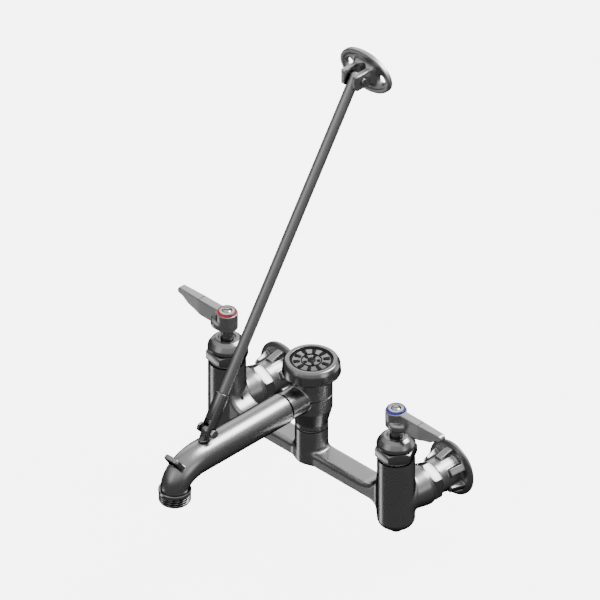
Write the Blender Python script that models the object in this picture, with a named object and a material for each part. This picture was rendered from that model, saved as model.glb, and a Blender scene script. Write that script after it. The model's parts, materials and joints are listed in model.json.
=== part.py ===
"""Wall-mounted service sink faucet with lever valves, a vacuum breaker and a braced spout.

The origin is on the wall plane, midway between the two inlets and at their height.  +X points to the
cold side, +Y into the wall and +Z up.  Dimensions are in millimetres and become metres in to_object().
"""
import math

import bmesh
import bpy
from mathutils import Matrix, Vector

MM = 0.001
GAP = 0.3                 # clearance between neighbouring pieces
SIDES = 20                # sides of a large turned piece
SMALL_SIDES = 12          # sides of a small turned piece
BORE_SIDES = 16           # sides of a hole

# Valves and cross casting
CENTRES = 203.2           # standard 8 inch spacing of the inlets
VALVE_Y = -67.5           # both valves and the centre post, in front of the wall
BARREL_R = 16.4
BARREL_TOP = 43.5
BARREL_FOOT = -27.5
FOOT_R = 8.5
CONE_R, CONE_LOW, CONE_TOP = 14.2, -25.0, -22.2
BAR_LOW, BAR_HIGH = -6.3, 6.9
BAR_HALF_WIDTH = 11.5
BAR_EDGE = 3.0
BAR_TOP_FILLET = 20.0
BAR_FOOT_FILLET = 11.0
POST_R = 14.4
POST_TOP = 27.0
POST_BORE_R = 9.5

# Waterways of the cross casting
BONNET_BORE_R = 12.6
PARTITION_LOW, PARTITION_HIGH = 8.0, 14.0
PARTITION_HOLE_R = 6.8
INLET_CHAMBER_R = 10.5
INLET_CHAMBER_LOW = -17.0
INLET_PASSAGE_R = 7.5
STOP_HOLE_R = 5.3
STOP_RECESS_R, STOP_RECESS_TOP = 6.4, -24.0   # the stop screw's head rises into it
BAR_PASSAGE_R = 4.4
BAR_PASSAGE_Z = 0.3
BAR_PASSAGE_END = 79.0
RISER_R = 3.2
RISER_FOOT = (77.0, 0.3)
RISER_HEAD = (93.0, 19.0)

# Inlet couplings, stations along Y
BOSS_ROOT_R, BOSS_R = 15.0, 18.3
BOSS_ROOT_Y, BOSS_SHOULDER_Y, BOSS_FACE_Y = -60.0, -41.0, -37.5
SPIGOT_R, SPIGOT_END_Y = 12.8, -32.5
NUT_LOW_Y, NUT_LIP_Y, NUT_HIGH_Y = -37.2, -28.3, -26.3
NUT_ACROSS_FLATS = 31.9
TAIL_END_Y = -30.7
TAIL_R, TAIL_GROOVE_R = 11.0, 10.2
RING_LOW_Y, RING_HIGH_Y, RING_R = -30.4, -28.6, 12.7
SLEEVE_R, SLEEVE_END_Y = 15.7, -26.0
FLANGE_R, FLANGE_FACE_R, FLANGE_THICK, FLANGE_EDGE = 26.0, 22.0, 3.5, 1.6
RIB_COUNT, RIB_WIDTH = 6, 7.0
RIB_TIP_R, RIB_FOOT_R, RIB_START_Y = 18.3, 21.0, -17.5
SOCKET_R, SOCKET_DEPTH = 9.5, 16.0
TAIL_BORE_R = 8.0

# Valve internals, heights along Z
SEAT_TOP = 16.0
SEAT_FLANGE_R, SEAT_NOSE_R, SEAT_HOLE_R = 8.8, 6.5, 5.2
DISC_R, DISC_LOW, DISC_HIGH = 7.5, 16.3, 18.9
DISC_PIN_R, DISC_PIN_LOW = 1.5, 17.1
HOLDER_SKIRT_R, HOLDER_SKIRT_LOW, HOLDER_SKIRT_TOP, HOLDER_TOP = 8.6, 17.4, 21.0, 34.0
HOLDER_HEX_R = 9.0
HOLDER_THREAD_R, HOLDER_THREAD_LOW = 4.3, 22.0
BONNET_LOW, BONNET_SHANK_R = 25.0, 12.2
BONNET_HEX_LOW, BONNET_HEX_HIGH, BONNET_HEX_R = 46.0, 56.0, 18.5
BONNET_HEX_TURN = math.radians(-5.0)
DOME_FOOT_R, DOME_TOP_R, DOME_TOP = 17.2, 10.5, 66.8
HEX_BORE_TOP = 38.0
BONNET_GASKET_R = 15.0
COLLAR_BORE_R, COLLAR_BORE_TOP = 8.3, 55.0
STEM_R, STEM_BORE_R = 5.2, 5.5
STEM_THREAD_R, STEM_FOOT, STEM_SHOULDER = 4.0, 25.5, 77.0
COLLAR_R, COLLAR_LOW, COLLAR_HIGH = 8.0, 51.0, 54.7
PACKING_BORE_R, PACKING_LOW, PACKING_HIGH = 7.2, 58.0, 62.0
SQUARE, SQUARE_TOP = 7.0, 87.7
SCREW_R, SCREW_HOLE_R, SCREW_FOOT, SCREW_HOLE_FOOT = 2.0, 2.3, 81.0, 80.0
STOP_HEAD_R, STOP_HEAD_LOW, STOP_HEAD_HIGH = 6.0, -31.0, -27.8
STOP_SHANK_R, STOP_SHANK_HIGH = 5.0, -17.0
STOP_STEM_R, STOP_STEM_HIGH, STOP_PIN_R = 3.0, 1.7, 1.3
STOP_GROOVE_R, STOP_GROOVE_LOW, STOP_GROOVE_HIGH = 3.7, -23.5, -21.0
STOP_WASHER_R, STOP_WASHER_LOW, STOP_WASHER_HIGH = 8.4, 2.0, 4.0

# Levers
HUB_R, HUB_LOW, HUB_HIGH = 9.35, 77.3, 93.0
LOBE_R, LOBE_OFFSET, LOBE_HIGH = 11.0, 4.5, 84.0
ARM_HALF_WIDTH, ARM_TOP, ARM_LENGTH, ARM_TIP_R = 4.15, 93.2, 56.5, 3.2
ARM_UNDERSIDE = [(22, 77.3), (36, 80.2), (46, 83.0), (53, 88.0)]     # (reach from the axis, height)
SCREW_SEAT = 93.3
INDEX_R, INDEX_BORE_R, INDEX_TOP = 8.4, 4.4, 95.0
SCREW_HEAD_R, SCREW_HEAD_TOP = 4.0, 95.5

# Vacuum breaker
HUB_SEAM = 29.0
VB_NECK_R, VB_NECK_TOP = 14.4, 33.0
VB_R, VB_CONE_TOP, VB_TOP = 18.1, 47.4, 82.0
VB_NIPPLE_R, VB_NIPPLE_LOW, VB_NIPPLE_BORE_R = 9.2, 15.0, 7.2
VB_CHAMBER_R, VB_CHAMBER_LOW = 14.0, 50.0
SPOUT_Z = 61.0
STUB_R, STUB_END_Y = 12.9, -102.3
STUB_SPIGOT_R, STUB_SPIGOT_END_Y, STUB_BORE_R = 10.1, -112.0, 8.0
VB_SEAT_TOP, VB_SEAT_LIP, VB_SEAT_HOLE_R = 53.5, 54.5, 6.5
FLOAT_DISC_R, FLOAT_HEAD_R, FLOAT_STEM_R, FLOAT_PIN_R = 9.3, 10.5, 3.0, 2.0
FLOAT_LOW, FLOAT_DISC_LOW, FLOAT_DISC_HIGH = 54.9, 57.1, 59.6
FLOAT_HEAD_LOW, FLOAT_TOP = 69.0, 71.7
VENT_LOW, VENT_HIGH, VENT_R, VENT_HOLE_R = 76.0, 81.7, 13.7, 8.0
SPIDER_LOW, SPIDER_R, SPIDER_HOLE_R, SPOKE_WIDTH = 78.5, 5.6, 3.9, 3.0
CAP_R, CAP_EDGE_R, CAP_TOP, CAP_INNER_R, CAP_CEILING = 25.4, 3.0, 95.0, 21.2, 91.2
CAP_TOP_R = 21.4          # where the flat rim meets its rounded edge
CAP_STUD_R, CAP_STUD_LOW = 3.6, 79.0
CAP_RECESS_R, CAP_RECESS_FLOOR = 18.7, 93.0
INSERT_THICK = 1.2

# Spout and outlet
SPOUT_R, SPOUT_NECK_R = 13.9, 12.15
SPOUT_START_Y, ELBOW_START_Y, OUTLET_Y, SPOUT_END_Z = -102.6, -202.0, -232.0, 43.0
SPOUT_BORE_R, SPOUT_NECK_BORE_R = 9.5, 7.6
SPOUT_SOCKET_R, SPOUT_SOCKET_END_Y = 10.4, -112.4
OUTLET_SOCKET_R, OUTLET_SOCKET_TOP = 8.8, 48.0
OUTLET_LOW, THREAD_TOP, LIP_LOW, LIP_HIGH = 30.0, 38.7, 39.9, 42.7
LIP_R, THREAD_R, THREAD_ROOT_R, OUTLET_BORE_R, OUTLET_SPIGOT_R = 14.3, 13.8, 12.8, 7.0, 8.5
HOOK_LEAN = math.radians(33.7)
HOOK_CROWN = (-230.5, 66.1)
HOOK_HALF_WIDTH, HOOK_HEIGHT, HOOK_THICK, HOOK_ROOT, HOOK_CORNER = 8.0, 12.0, 4.5, 3.5, 4.0

# Wall brace
EYE_BASE_Y, EYE_BASE_R, EYE_HOLE_FOOT, EYE_COLLAR_R, EYE_COLLAR_TOP = -198.0, 3.0, 71.8, 4.2, 77.0
EYE_HALF_THICK, EYE_R, EYE_LOW = 2.8, 5.2, 75.2
LOWER_PIN = (-192.5, 83.0)
UPPER_PIN = (-15.0, 362.5)
FORK_R, FORK_LENGTH, FORK_SLOT_HALF, FORK_SLOT_TOP, FORK_BORE_LOW = 6.3, 35.0, 3.1, 10.0, 14.0
ROD_R, ROD_BORE_R, ROD_START, ROD_OVERRUN = 4.8, 5.1, 14.3, 4.8
BOLT_R, BOLT_HOLE_R, BOLT_HEAD_R, BOLT_FACE, BOLT_HEAD_END = 2.5, 2.8, 4.3, 6.6, 9.3
BOLT_TAIL, NUT_THICK, SMALL_NUT_R = -10.2, 2.8, 4.7
PIN_R, PIN_HOLE_R, PIN_HEAD_R, PIN_FACE, PIN_HEAD_END = 2.2, 2.5, 3.4, 10.3, 11.6
BRACKET_HALF_X, BRACKET_HALF_Z, BRACKET_THICK = 29.6, 18.4, 4.0
EAR_INNER, EAR_OUTER, EAR_HALF_HEIGHT, EAR_FRONT_Y, EAR_CORNER = 5.1, 10.0, 7.5, -23.5, 3.5
SCREW_OFFSET, WALL_HOLE_R, WALL_SINK_R, WALL_SINK_DEPTH = 19.0, 3.5, 5.3, 2.2

PLANES = {
    "XY": lambda a, b, c: (a, b, c),
    "XZ": lambda a, b, c: (a, c, b),
    "YZ": lambda a, b, c: (c, a, b),
}

FINISHES = {               # base colour, metallic, roughness
    "satin_chrome": ((0.55, 0.56, 0.58), 1.0, 0.35),
    "bright_chrome": ((0.75, 0.76, 0.78), 1.0, 0.15),
    "brass": ((0.60, 0.46, 0.20), 1.0, 0.35),
    "black_rubber": ((0.03, 0.03, 0.03), 0.0, 0.70),
    "red_plastic": ((0.60, 0.03, 0.03), 0.0, 0.40),
    "blue_plastic": ((0.03, 0.10, 0.50), 0.0, 0.40),
}


# ---------------------------------------------------------------- shapes

def to_object(bm):
    """Scale a bmesh from millimetres, with its faces turned outwards, into a new object."""
    bmesh.ops.recalc_face_normals(bm, faces=bm.faces)
    bmesh.ops.scale(bm, vec=(MM, MM, MM), verts=bm.verts)
    mesh = bpy.data.meshes.new("shape")
    bm.to_mesh(mesh)
    bm.free()
    shape = bpy.data.objects.new("shape", mesh)
    bpy.context.scene.collection.objects.link(shape)
    return shape


def bridge(bm, low, high):
    """Join two rings of the same number of vertices."""
    count = len(low)
    for i in range(count):
        j = (i + 1) % count
        bm.faces.new((low[i], low[j], high[j], high[i]))


def cap(bm, ring, height):
    """Close a ring that lies across the Z axis: flat, or to a point where height differs from the ring's."""
    if abs(ring[0].co.z - height) < 1e-6:
        bm.faces.new(ring)
        return
    point = bm.verts.new((0.0, 0.0, height))
    for i, vertex in enumerate(ring):
        bm.faces.new((vertex, ring[(i + 1) % len(ring)], point))


def turned(profile, at=(0.0, 0.0, 0.0), axis=(0.0, 0.0, 1.0), sides=SIDES, phase=0.0):
    """A turned solid.  The profile's points are (radius, height along the axis from at).

    A profile that starts and ends on the axis is a plain solid; one that never meets it is a ring.
    """
    bm = bmesh.new()
    angles = [phase + 2 * math.pi * i / sides for i in range(sides)]
    rings = []
    for radius, height in profile:
        if radius > 0:
            rings.append([bm.verts.new((radius * math.cos(a), radius * math.sin(a), height)) for a in angles])
    for low, high in zip(rings, rings[1:]):
        bridge(bm, low, high)
    if profile[0][0] > 0:
        bridge(bm, rings[-1], rings[0])
    else:
        cap(bm, rings[0], profile[0][1])
        cap(bm, rings[-1], profile[-1][1])
    turn = Vector((0.0, 0.0, 1.0)).rotation_difference(Vector(axis)).to_matrix().to_4x4()
    bm.transform(Matrix.Translation(at) @ turn)
    return to_object(bm)


def rod(radius, start, end, sides=SIDES, phase=0.0):
    """A plain cylinder between two points."""
    span = Vector(end) - Vector(start)
    return turned([(0, 0), (radius, 0), (radius, span.length), (0, span.length)], start, span, sides, phase)


def bore(radius, start, end, sides=BORE_SIDES):
    """A cylinder that cuts a hole, turned half a side so that its corners miss those of the solid."""
    return rod(radius, start, end, sides, math.pi / sides)


def extruded(outline, low, high, plane, edge=0.0):
    """A flat outline carried from low to high along the third axis, its rims rounded by edge."""
    place = PLANES[plane]
    bm = bmesh.new()
    near = [bm.verts.new(place(a, b, low)) for a, b in outline]
    far = [bm.verts.new(place(a, b, high)) for a, b in outline]
    ends = [bm.faces.new(near), bm.faces.new(far)]
    bridge(bm, near, far)
    if edge:
        rims = list({e for face in ends for e in face.edges})
        bmesh.ops.bevel(bm, geom=rims, offset=edge, segments=2, profile=0.5, affect="EDGES")
    return to_object(bm)


def swept(stations, sides=SIDES):
    """A round bar in the YZ plane through stations (y, z, radius, lean).

    Lean turns a station's ring about X: none for a run along Y, a right angle for one pointing down.
    """
    bm = bmesh.new()
    rings = []
    for y, z, radius, lean in stations:
        across = Vector((1.0, 0.0, 0.0))
        upward = Vector((0.0, -math.sin(lean), math.cos(lean)))
        ring = []
        for k in range(sides):
            angle = 2 * math.pi * k / sides
            offset = radius * (math.cos(angle) * across + math.sin(angle) * upward)
            ring.append(bm.verts.new(Vector((0.0, y, z)) + offset))
        rings.append(ring)
    for low, high in zip(rings, rings[1:]):
        bridge(bm, low, high)
    bm.faces.new(rings[0])
    bm.faces.new(rings[-1])
    return to_object(bm)


def arc(centre, radius, start, end, steps):
    """Points on an arc, angles in degrees."""
    points = []
    for i in range(steps + 1):
        angle = math.radians(start + (end - start) * i / steps)
        points.append((centre[0] + radius * math.cos(angle), centre[1] + radius * math.sin(angle)))
    return points


def combine(target, others, operation):
    """Apply a Boolean of the others to the target, and remove them."""
    for other in others:
        modifier = target.modifiers.new("Boolean", "BOOLEAN")
        modifier.operation = operation
        modifier.object = other
        bpy.context.view_layer.update()
        evaluated = target.evaluated_get(bpy.context.evaluated_depsgraph_get())
        mesh = bpy.data.meshes.new_from_object(evaluated)
        target.modifiers.clear()
        target.data = mesh
        bpy.data.objects.remove(other)
    return target


def join(target, *others):
    return combine(target, others, "UNION")


def cut(target, *others):
    return combine(target, others, "DIFFERENCE")


def material(finish):
    """The shared Principled material of a finish."""
    if finish in bpy.data.materials:
        return bpy.data.materials[finish]
    colour, metallic, roughness = FINISHES[finish]
    made = bpy.data.materials.new(finish)
    made.use_nodes = True
    shader = made.node_tree.nodes["Principled BSDF"]
    shader.inputs["Base Color"].default_value = (*colour, 1.0)
    shader.inputs["Metallic"].default_value = metallic
    shader.inputs["Roughness"].default_value = roughness
    return made


def weld(mesh):
    """Merge the points and the level faces that Booleans leave split."""
    bm = bmesh.new()
    bm.from_mesh(mesh)
    bmesh.ops.remove_doubles(bm, verts=bm.verts, dist=0.001 * MM)
    bmesh.ops.dissolve_degenerate(bm, edges=bm.edges, dist=0.001 * MM)
    bmesh.ops.dissolve_limit(bm, angle_limit=math.radians(0.05), verts=bm.verts, edges=bm.edges)
    bm.to_mesh(mesh)
    bm.free()


def finished(shape, name, finish, origin=(0.0, 0.0, 0.0)):
    """Name the piece, move its origin to a point in millimetres and give it its material."""
    shape.name = name
    mesh = shape.data
    mesh.name = name
    place = Vector(origin) * MM
    mesh.transform(Matrix.Translation(-place))
    weld(mesh)
    shape.location = place
    mesh.materials.clear()
    mesh.materials.append(material(finish))
    mesh.shade_smooth()
    mesh.set_sharp_from_angle(angle=math.radians(35.0))
    return shape


# ---------------------------------------------------------------- cross casting

def half_bar_outline():
    """The crossbar's side view from its middle to the right-hand valve axis, bottom first."""
    flank = math.sqrt(BARREL_R ** 2 - BAR_HALF_WIDTH ** 2)
    wall = CENTRES / 2 - flank
    foot = (wall - BAR_FOOT_FILLET, BAR_LOW - BAR_FOOT_FILLET)
    head = (wall - BAR_TOP_FILLET, BAR_HIGH + BAR_TOP_FILLET)
    points = arc(foot, BAR_FOOT_FILLET, 90, 0, 4)
    points += [(CENTRES / 2, foot[1]), (CENTRES / 2, head[1])]
    points += arc(head, BAR_TOP_FILLET, 0, -90, 5)
    return points


def main_body():
    right = half_bar_outline()
    left = [(-x, z) for x, z in reversed(right)]
    near, far = VALVE_Y - BAR_HALF_WIDTH, VALVE_Y + BAR_HALF_WIDTH
    body = extruded(right + left, near, far, "XZ", BAR_EDGE)
    body = join(body, rod(POST_R, (0, VALVE_Y, BAR_LOW), (0, VALVE_Y, POST_TOP)))
    passage_end = Vector((BAR_PASSAGE_END, VALVE_Y, BAR_PASSAGE_Z))
    cuts = [
        bore(BAR_PASSAGE_R, (-BAR_PASSAGE_END, VALVE_Y, BAR_PASSAGE_Z), passage_end),
        bore(POST_BORE_R, (0, VALVE_Y, BAR_PASSAGE_Z), (0, VALVE_Y, POST_TOP + 1)),
    ]
    for side in (-1, 1):
        x = side * CENTRES / 2
        barrel = [(0, BARREL_FOOT), (FOOT_R, BARREL_FOOT), (CONE_R, CONE_LOW), (BARREL_R, CONE_TOP),
                  (BARREL_R, BARREL_TOP - 0.6), (BARREL_R - 0.6, BARREL_TOP), (0, BARREL_TOP)]
        boss = [(0, VALVE_Y), (BOSS_ROOT_R, VALVE_Y), (BOSS_ROOT_R, BOSS_ROOT_Y), (BOSS_R, BOSS_SHOULDER_Y),
                (BOSS_R, BOSS_FACE_Y), (SPIGOT_R, BOSS_FACE_Y), (SPIGOT_R, SPIGOT_END_Y), (0, SPIGOT_END_Y)]
        join(body, turned(barrel, (x, VALVE_Y, 0)), turned(boss, (x, 0, 0), (0, 1, 0)))
        foot = (side * RISER_FOOT[0], VALVE_Y, RISER_FOOT[1])
        head = (side * RISER_HEAD[0], VALVE_Y, RISER_HEAD[1])
        cuts += [
            bore(BONNET_BORE_R, (x, VALVE_Y, PARTITION_HIGH), (x, VALVE_Y, BARREL_TOP + 1)),
            bore(PARTITION_HOLE_R, (x, VALVE_Y, PARTITION_LOW - 1), (x, VALVE_Y, PARTITION_HIGH + 1)),
            bore(INLET_CHAMBER_R, (x, VALVE_Y, INLET_CHAMBER_LOW), (x, VALVE_Y, PARTITION_LOW)),
            bore(STOP_HOLE_R, (x, VALVE_Y, STOP_RECESS_TOP - 1), (x, VALVE_Y, INLET_CHAMBER_LOW + 1)),
            bore(STOP_RECESS_R, (x, VALVE_Y, BARREL_FOOT - 1), (x, VALVE_Y, STOP_RECESS_TOP)),
            bore(INLET_PASSAGE_R, (x, VALVE_Y, 0), (x, SPIGOT_END_Y + 1, 0)),
            bore(RISER_R, foot, head),
        ]
    cut(body, *cuts)
    return finished(body, "main_body", "satin_chrome")


# ---------------------------------------------------------------- inlet couplings

def inlet_flange(prefix, x):
    profile = [(TAIL_BORE_R, TAIL_END_Y), (TAIL_R, TAIL_END_Y), (TAIL_R, RING_LOW_Y - GAP / 2),
               (TAIL_GROOVE_R, RING_LOW_Y - GAP / 2), (TAIL_GROOVE_R, RING_HIGH_Y + GAP),
               (TAIL_R, RING_HIGH_Y + GAP), (TAIL_R, SLEEVE_END_Y), (SLEEVE_R, SLEEVE_END_Y),
               (SLEEVE_R, -FLANGE_THICK), (FLANGE_FACE_R, -FLANGE_THICK), (FLANGE_R, -FLANGE_EDGE),
               (FLANGE_R, 0), (SOCKET_R, 0), (SOCKET_R, -SOCKET_DEPTH), (TAIL_BORE_R, -SOCKET_DEPTH)]
    flange = turned(profile, (x, 0, 0), (0, 1, 0))
    rib_outline = [(SLEEVE_R - 2, RIB_START_Y), (RIB_TIP_R, RIB_START_Y), (RIB_FOOT_R, -FLANGE_THICK - 1.5),
                   (RIB_FOOT_R, -FLANGE_THICK + 1), (SLEEVE_R - 2, -FLANGE_THICK + 1)]
    for i in range(RIB_COUNT):
        angle = math.radians(30 + 360 * i / RIB_COUNT)
        rib = extruded(rib_outline, -RIB_WIDTH / 2, RIB_WIDTH / 2, "XY")
        rib.data.transform(Matrix.Translation((x * MM, 0, 0)) @ Matrix.Rotation(angle, 4, "Y"))
        join(flange, rib)
    return finished(flange, prefix + "inlet_flange", "satin_chrome", (x, 0, 0))


def inlet_coupling(prefix, x):
    inlet_flange(prefix, x)
    ring = [(TAIL_GROOVE_R + GAP, RING_LOW_Y), (RING_R, RING_LOW_Y), (RING_R, RING_HIGH_Y),
            (TAIL_GROOVE_R + GAP, RING_HIGH_Y)]
    finished(turned(ring, (x, 0, 0), (0, 1, 0)), prefix + "union_ring", "brass", (x, 0, 0))
    gasket = [(TAIL_BORE_R + GAP, SPIGOT_END_Y + GAP), (SPIGOT_R - GAP, SPIGOT_END_Y + GAP),
              (SPIGOT_R - GAP, TAIL_END_Y - GAP), (TAIL_BORE_R + GAP, TAIL_END_Y - GAP)]
    finished(turned(gasket, (x, 0, 0), (0, 1, 0)), prefix + "inlet_gasket", "black_rubber", (x, 0, 0))
    corner_r = NUT_ACROSS_FLATS / 2 / math.cos(math.radians(30))
    nut = turned([(0, NUT_LOW_Y), (corner_r, NUT_LOW_Y), (corner_r, NUT_HIGH_Y), (0, NUT_HIGH_Y)],
                 (x, 0, 0), (0, 1, 0), 6, math.radians(30))
    cut(nut,
        bore(SPIGOT_R + GAP, (x, NUT_LOW_Y - 1, 0), (x, NUT_LIP_Y, 0)),
        bore(TAIL_R + GAP + 0.1, (x, NUT_LIP_Y - 1, 0), (x, NUT_HIGH_Y + 1, 0)))
    finished(nut, prefix + "coupling_nut", "satin_chrome", (x, 0, 0))


# ---------------------------------------------------------------- valves

def bonnet(prefix, x):
    at = (x, VALVE_Y, 0)
    shank = turned([(0, BONNET_LOW), (BONNET_SHANK_R, BONNET_LOW), (BONNET_SHANK_R, BONNET_HEX_LOW + 1),
                    (0, BONNET_HEX_LOW + 1)], at)
    hexagon = turned([(0, BONNET_HEX_LOW), (BONNET_HEX_R, BONNET_HEX_LOW), (BONNET_HEX_R, BONNET_HEX_HIGH),
                      (0, BONNET_HEX_HIGH)], at, sides=6, phase=BONNET_HEX_TURN)
    rise = DOME_TOP - BONNET_HEX_HIGH
    dome = [(0, BONNET_HEX_HIGH - 1), (DOME_FOOT_R - 2, BONNET_HEX_HIGH - 1)]
    for i in range(5):
        angle = math.radians(90 * i / 4)
        radius = DOME_TOP_R + (DOME_FOOT_R - DOME_TOP_R) * math.cos(angle)
        dome.append((radius, BONNET_HEX_HIGH + rise * math.sin(angle)))
    dome.append((0, DOME_TOP))
    body = join(hexagon, shank, turned(dome, at))
    cavity = [(0, HEX_BORE_TOP - 1), (COLLAR_BORE_R, HEX_BORE_TOP - 1), (COLLAR_BORE_R, COLLAR_BORE_TOP),
              (STEM_BORE_R, COLLAR_BORE_TOP), (STEM_BORE_R, PACKING_LOW), (PACKING_BORE_R, PACKING_LOW),
              (PACKING_BORE_R, PACKING_HIGH), (STEM_BORE_R, PACKING_HIGH), (STEM_BORE_R, DOME_TOP + 1),
              (0, DOME_TOP + 1)]
    hex_bore = turned([(0, BONNET_LOW - 1), (HOLDER_HEX_R + 2 * GAP, BONNET_LOW - 1),
                       (HOLDER_HEX_R + 2 * GAP, HEX_BORE_TOP), (0, HEX_BORE_TOP)], at, sides=6)
    cut(body, turned(cavity, at, sides=BORE_SIDES, phase=math.pi / BORE_SIDES), hex_bore)
    finished(body, prefix + "bonnet", "satin_chrome", at)


def valve_seals(prefix, x):
    """The seat ring, gasket and stem packing, which stay with the casting."""
    at = (x, VALVE_Y, 0)
    seat = [(SEAT_HOLE_R, PARTITION_LOW + 0.8), (SEAT_NOSE_R, PARTITION_LOW + 0.8),
            (SEAT_NOSE_R, PARTITION_HIGH + GAP), (SEAT_FLANGE_R, PARTITION_HIGH + GAP),
            (SEAT_FLANGE_R, SEAT_TOP - 0.5), (SEAT_FLANGE_R - 1.0, SEAT_TOP), (SEAT_HOLE_R, SEAT_TOP)]
    finished(turned(seat, at, sides=SMALL_SIDES), prefix + "seat_ring", "brass", at)
    gasket = [(BONNET_BORE_R, BARREL_TOP + GAP), (BONNET_GASKET_R, BARREL_TOP + GAP),
              (BONNET_GASKET_R, BONNET_HEX_LOW - GAP), (BONNET_BORE_R, BONNET_HEX_LOW - GAP)]
    finished(turned(gasket, at), prefix + "bonnet_gasket", "black_rubber", at)
    packing = [(STEM_BORE_R, PACKING_LOW + GAP), (PACKING_BORE_R - GAP, PACKING_LOW + GAP),
               (PACKING_BORE_R - GAP, PACKING_HIGH - GAP), (STEM_BORE_R, PACKING_HIGH - GAP)]
    finished(turned(packing, at, sides=SMALL_SIDES), prefix + "stem_packing", "black_rubber", at)


def valve_disc(prefix, x):
    """The sliding disc holder with its rubber disc."""
    at = (x, VALVE_Y, 0)
    hexagon = turned([(0, DISC_HIGH + GAP), (HOLDER_HEX_R, DISC_HIGH + GAP), (HOLDER_HEX_R, HOLDER_TOP),
                      (0, HOLDER_TOP)], at, sides=6)
    skirt = [(DISC_R + GAP, HOLDER_SKIRT_LOW), (HOLDER_SKIRT_R, HOLDER_SKIRT_LOW),
             (HOLDER_SKIRT_R, HOLDER_SKIRT_TOP), (DISC_R + GAP, HOLDER_SKIRT_TOP)]
    pin = rod(DISC_PIN_R, (x, VALVE_Y, DISC_PIN_LOW), (x, VALVE_Y, DISC_HIGH + 1), SMALL_SIDES)
    holder = join(hexagon, turned(skirt, at, sides=SMALL_SIDES), pin)
    cut(holder, bore(HOLDER_THREAD_R, (x, VALVE_Y, HOLDER_THREAD_LOW), (x, VALVE_Y, HOLDER_TOP + 1)))
    finished(holder, prefix + "disc_holder", "brass", at)
    disc = [(DISC_PIN_R + GAP, DISC_LOW), (DISC_R, DISC_LOW), (DISC_R, DISC_HIGH),
            (DISC_PIN_R + GAP, DISC_HIGH)]
    finished(turned(disc, at, sides=SMALL_SIDES), prefix + "disc_washer", "black_rubber", at)


def stem(prefix, x):
    at = (x, VALVE_Y, 0)
    profile = [(0, STEM_FOOT), (STEM_THREAD_R - 0.6, STEM_FOOT), (STEM_THREAD_R, STEM_FOOT + 0.6),
               (STEM_THREAD_R, HOLDER_TOP + 6), (COLLAR_R, COLLAR_LOW), (COLLAR_R, COLLAR_HIGH),
               (STEM_R, COLLAR_HIGH), (STEM_R, STEM_SHOULDER), (0, STEM_SHOULDER)]
    body = turned(profile, at, sides=SMALL_SIDES)
    half = SQUARE / 2
    corners = [(x - half, VALVE_Y - half), (x + half, VALVE_Y - half), (x + half, VALVE_Y + half),
               (x - half, VALVE_Y + half)]
    join(body, extruded(corners, STEM_SHOULDER - 1, SQUARE_TOP, "XY"))
    cut(body, bore(SCREW_HOLE_R, (x, VALVE_Y, SCREW_HOLE_FOOT), (x, VALVE_Y, SQUARE_TOP + 1), SMALL_SIDES))
    finished(body, prefix + "stem", "brass", at)


def lever(prefix, x):
    """The lever, its arm pointing away from the middle of the faucet."""
    at = (x, VALVE_Y, 0)
    out = math.copysign(1.0, x)
    hub = turned([(0, HUB_LOW), (HUB_R - 0.8, HUB_LOW), (HUB_R, HUB_LOW + 0.8), (HUB_R, HUB_HIGH - 0.8),
                  (HUB_R - 0.8, HUB_HIGH), (0, HUB_HIGH)], at)
    lobe = turned([(0, HUB_LOW), (LOBE_R - 2, HUB_LOW), (LOBE_R, HUB_LOW + 2), (LOBE_R, LOBE_HIGH - 2),
                   (LOBE_R - 2, LOBE_HIGH), (0, LOBE_HIGH)], (x + out * LOBE_OFFSET, VALVE_Y, 0))
    tip = arc((ARM_LENGTH - ARM_TIP_R, ARM_TOP - ARM_TIP_R), ARM_TIP_R, -35, 90, 4)
    outline = [(x + out * a, b) for a, b in [(0, HUB_LOW)] + ARM_UNDERSIDE + tip + [(0, ARM_TOP)]]
    arm = extruded(outline, VALVE_Y - ARM_HALF_WIDTH, VALVE_Y + ARM_HALF_WIDTH, "XZ", 1.2)
    body = join(hub, lobe, arm)
    half = SQUARE / 2 + GAP
    corners = [(x - half, VALVE_Y - half), (x + half, VALVE_Y - half), (x + half, VALVE_Y + half),
               (x - half, VALVE_Y + half)]
    cut(body,
        extruded(corners, HUB_LOW - 3, SQUARE_TOP + GAP, "XY"),
        bore(SCREW_HOLE_R, (x, VALVE_Y, SQUARE_TOP - 1), (x, VALVE_Y, ARM_TOP + 1), SMALL_SIDES),
        rod(INDEX_R + GAP, (x, VALVE_Y, HUB_HIGH), (x, VALVE_Y, ARM_TOP + 1)))
    finished(body, prefix + "lever", "satin_chrome", at)


def lever_trim(prefix, x, index_finish):
    at = (x, VALVE_Y, 0)
    ring = [(INDEX_BORE_R, SCREW_SEAT), (INDEX_R, SCREW_SEAT), (INDEX_R - 0.2, INDEX_TOP - 0.9),
            (INDEX_R - 1.2, INDEX_TOP - 0.2), (INDEX_R - 2.2, INDEX_TOP), (INDEX_BORE_R, INDEX_TOP)]
    finished(turned(ring, at, sides=SMALL_SIDES), prefix + "index_ring", index_finish, at)
    screw = [(0, SCREW_FOOT), (SCREW_R, SCREW_FOOT), (SCREW_R, SCREW_SEAT), (SCREW_HEAD_R, SCREW_SEAT),
             (SCREW_HEAD_R, SCREW_HEAD_TOP - 0.8), (SCREW_HEAD_R - 1.2, SCREW_HEAD_TOP), (0, SCREW_HEAD_TOP)]
    finished(turned(screw, at, sides=SMALL_SIDES), prefix + "handle_screw", "bright_chrome", at)


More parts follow.
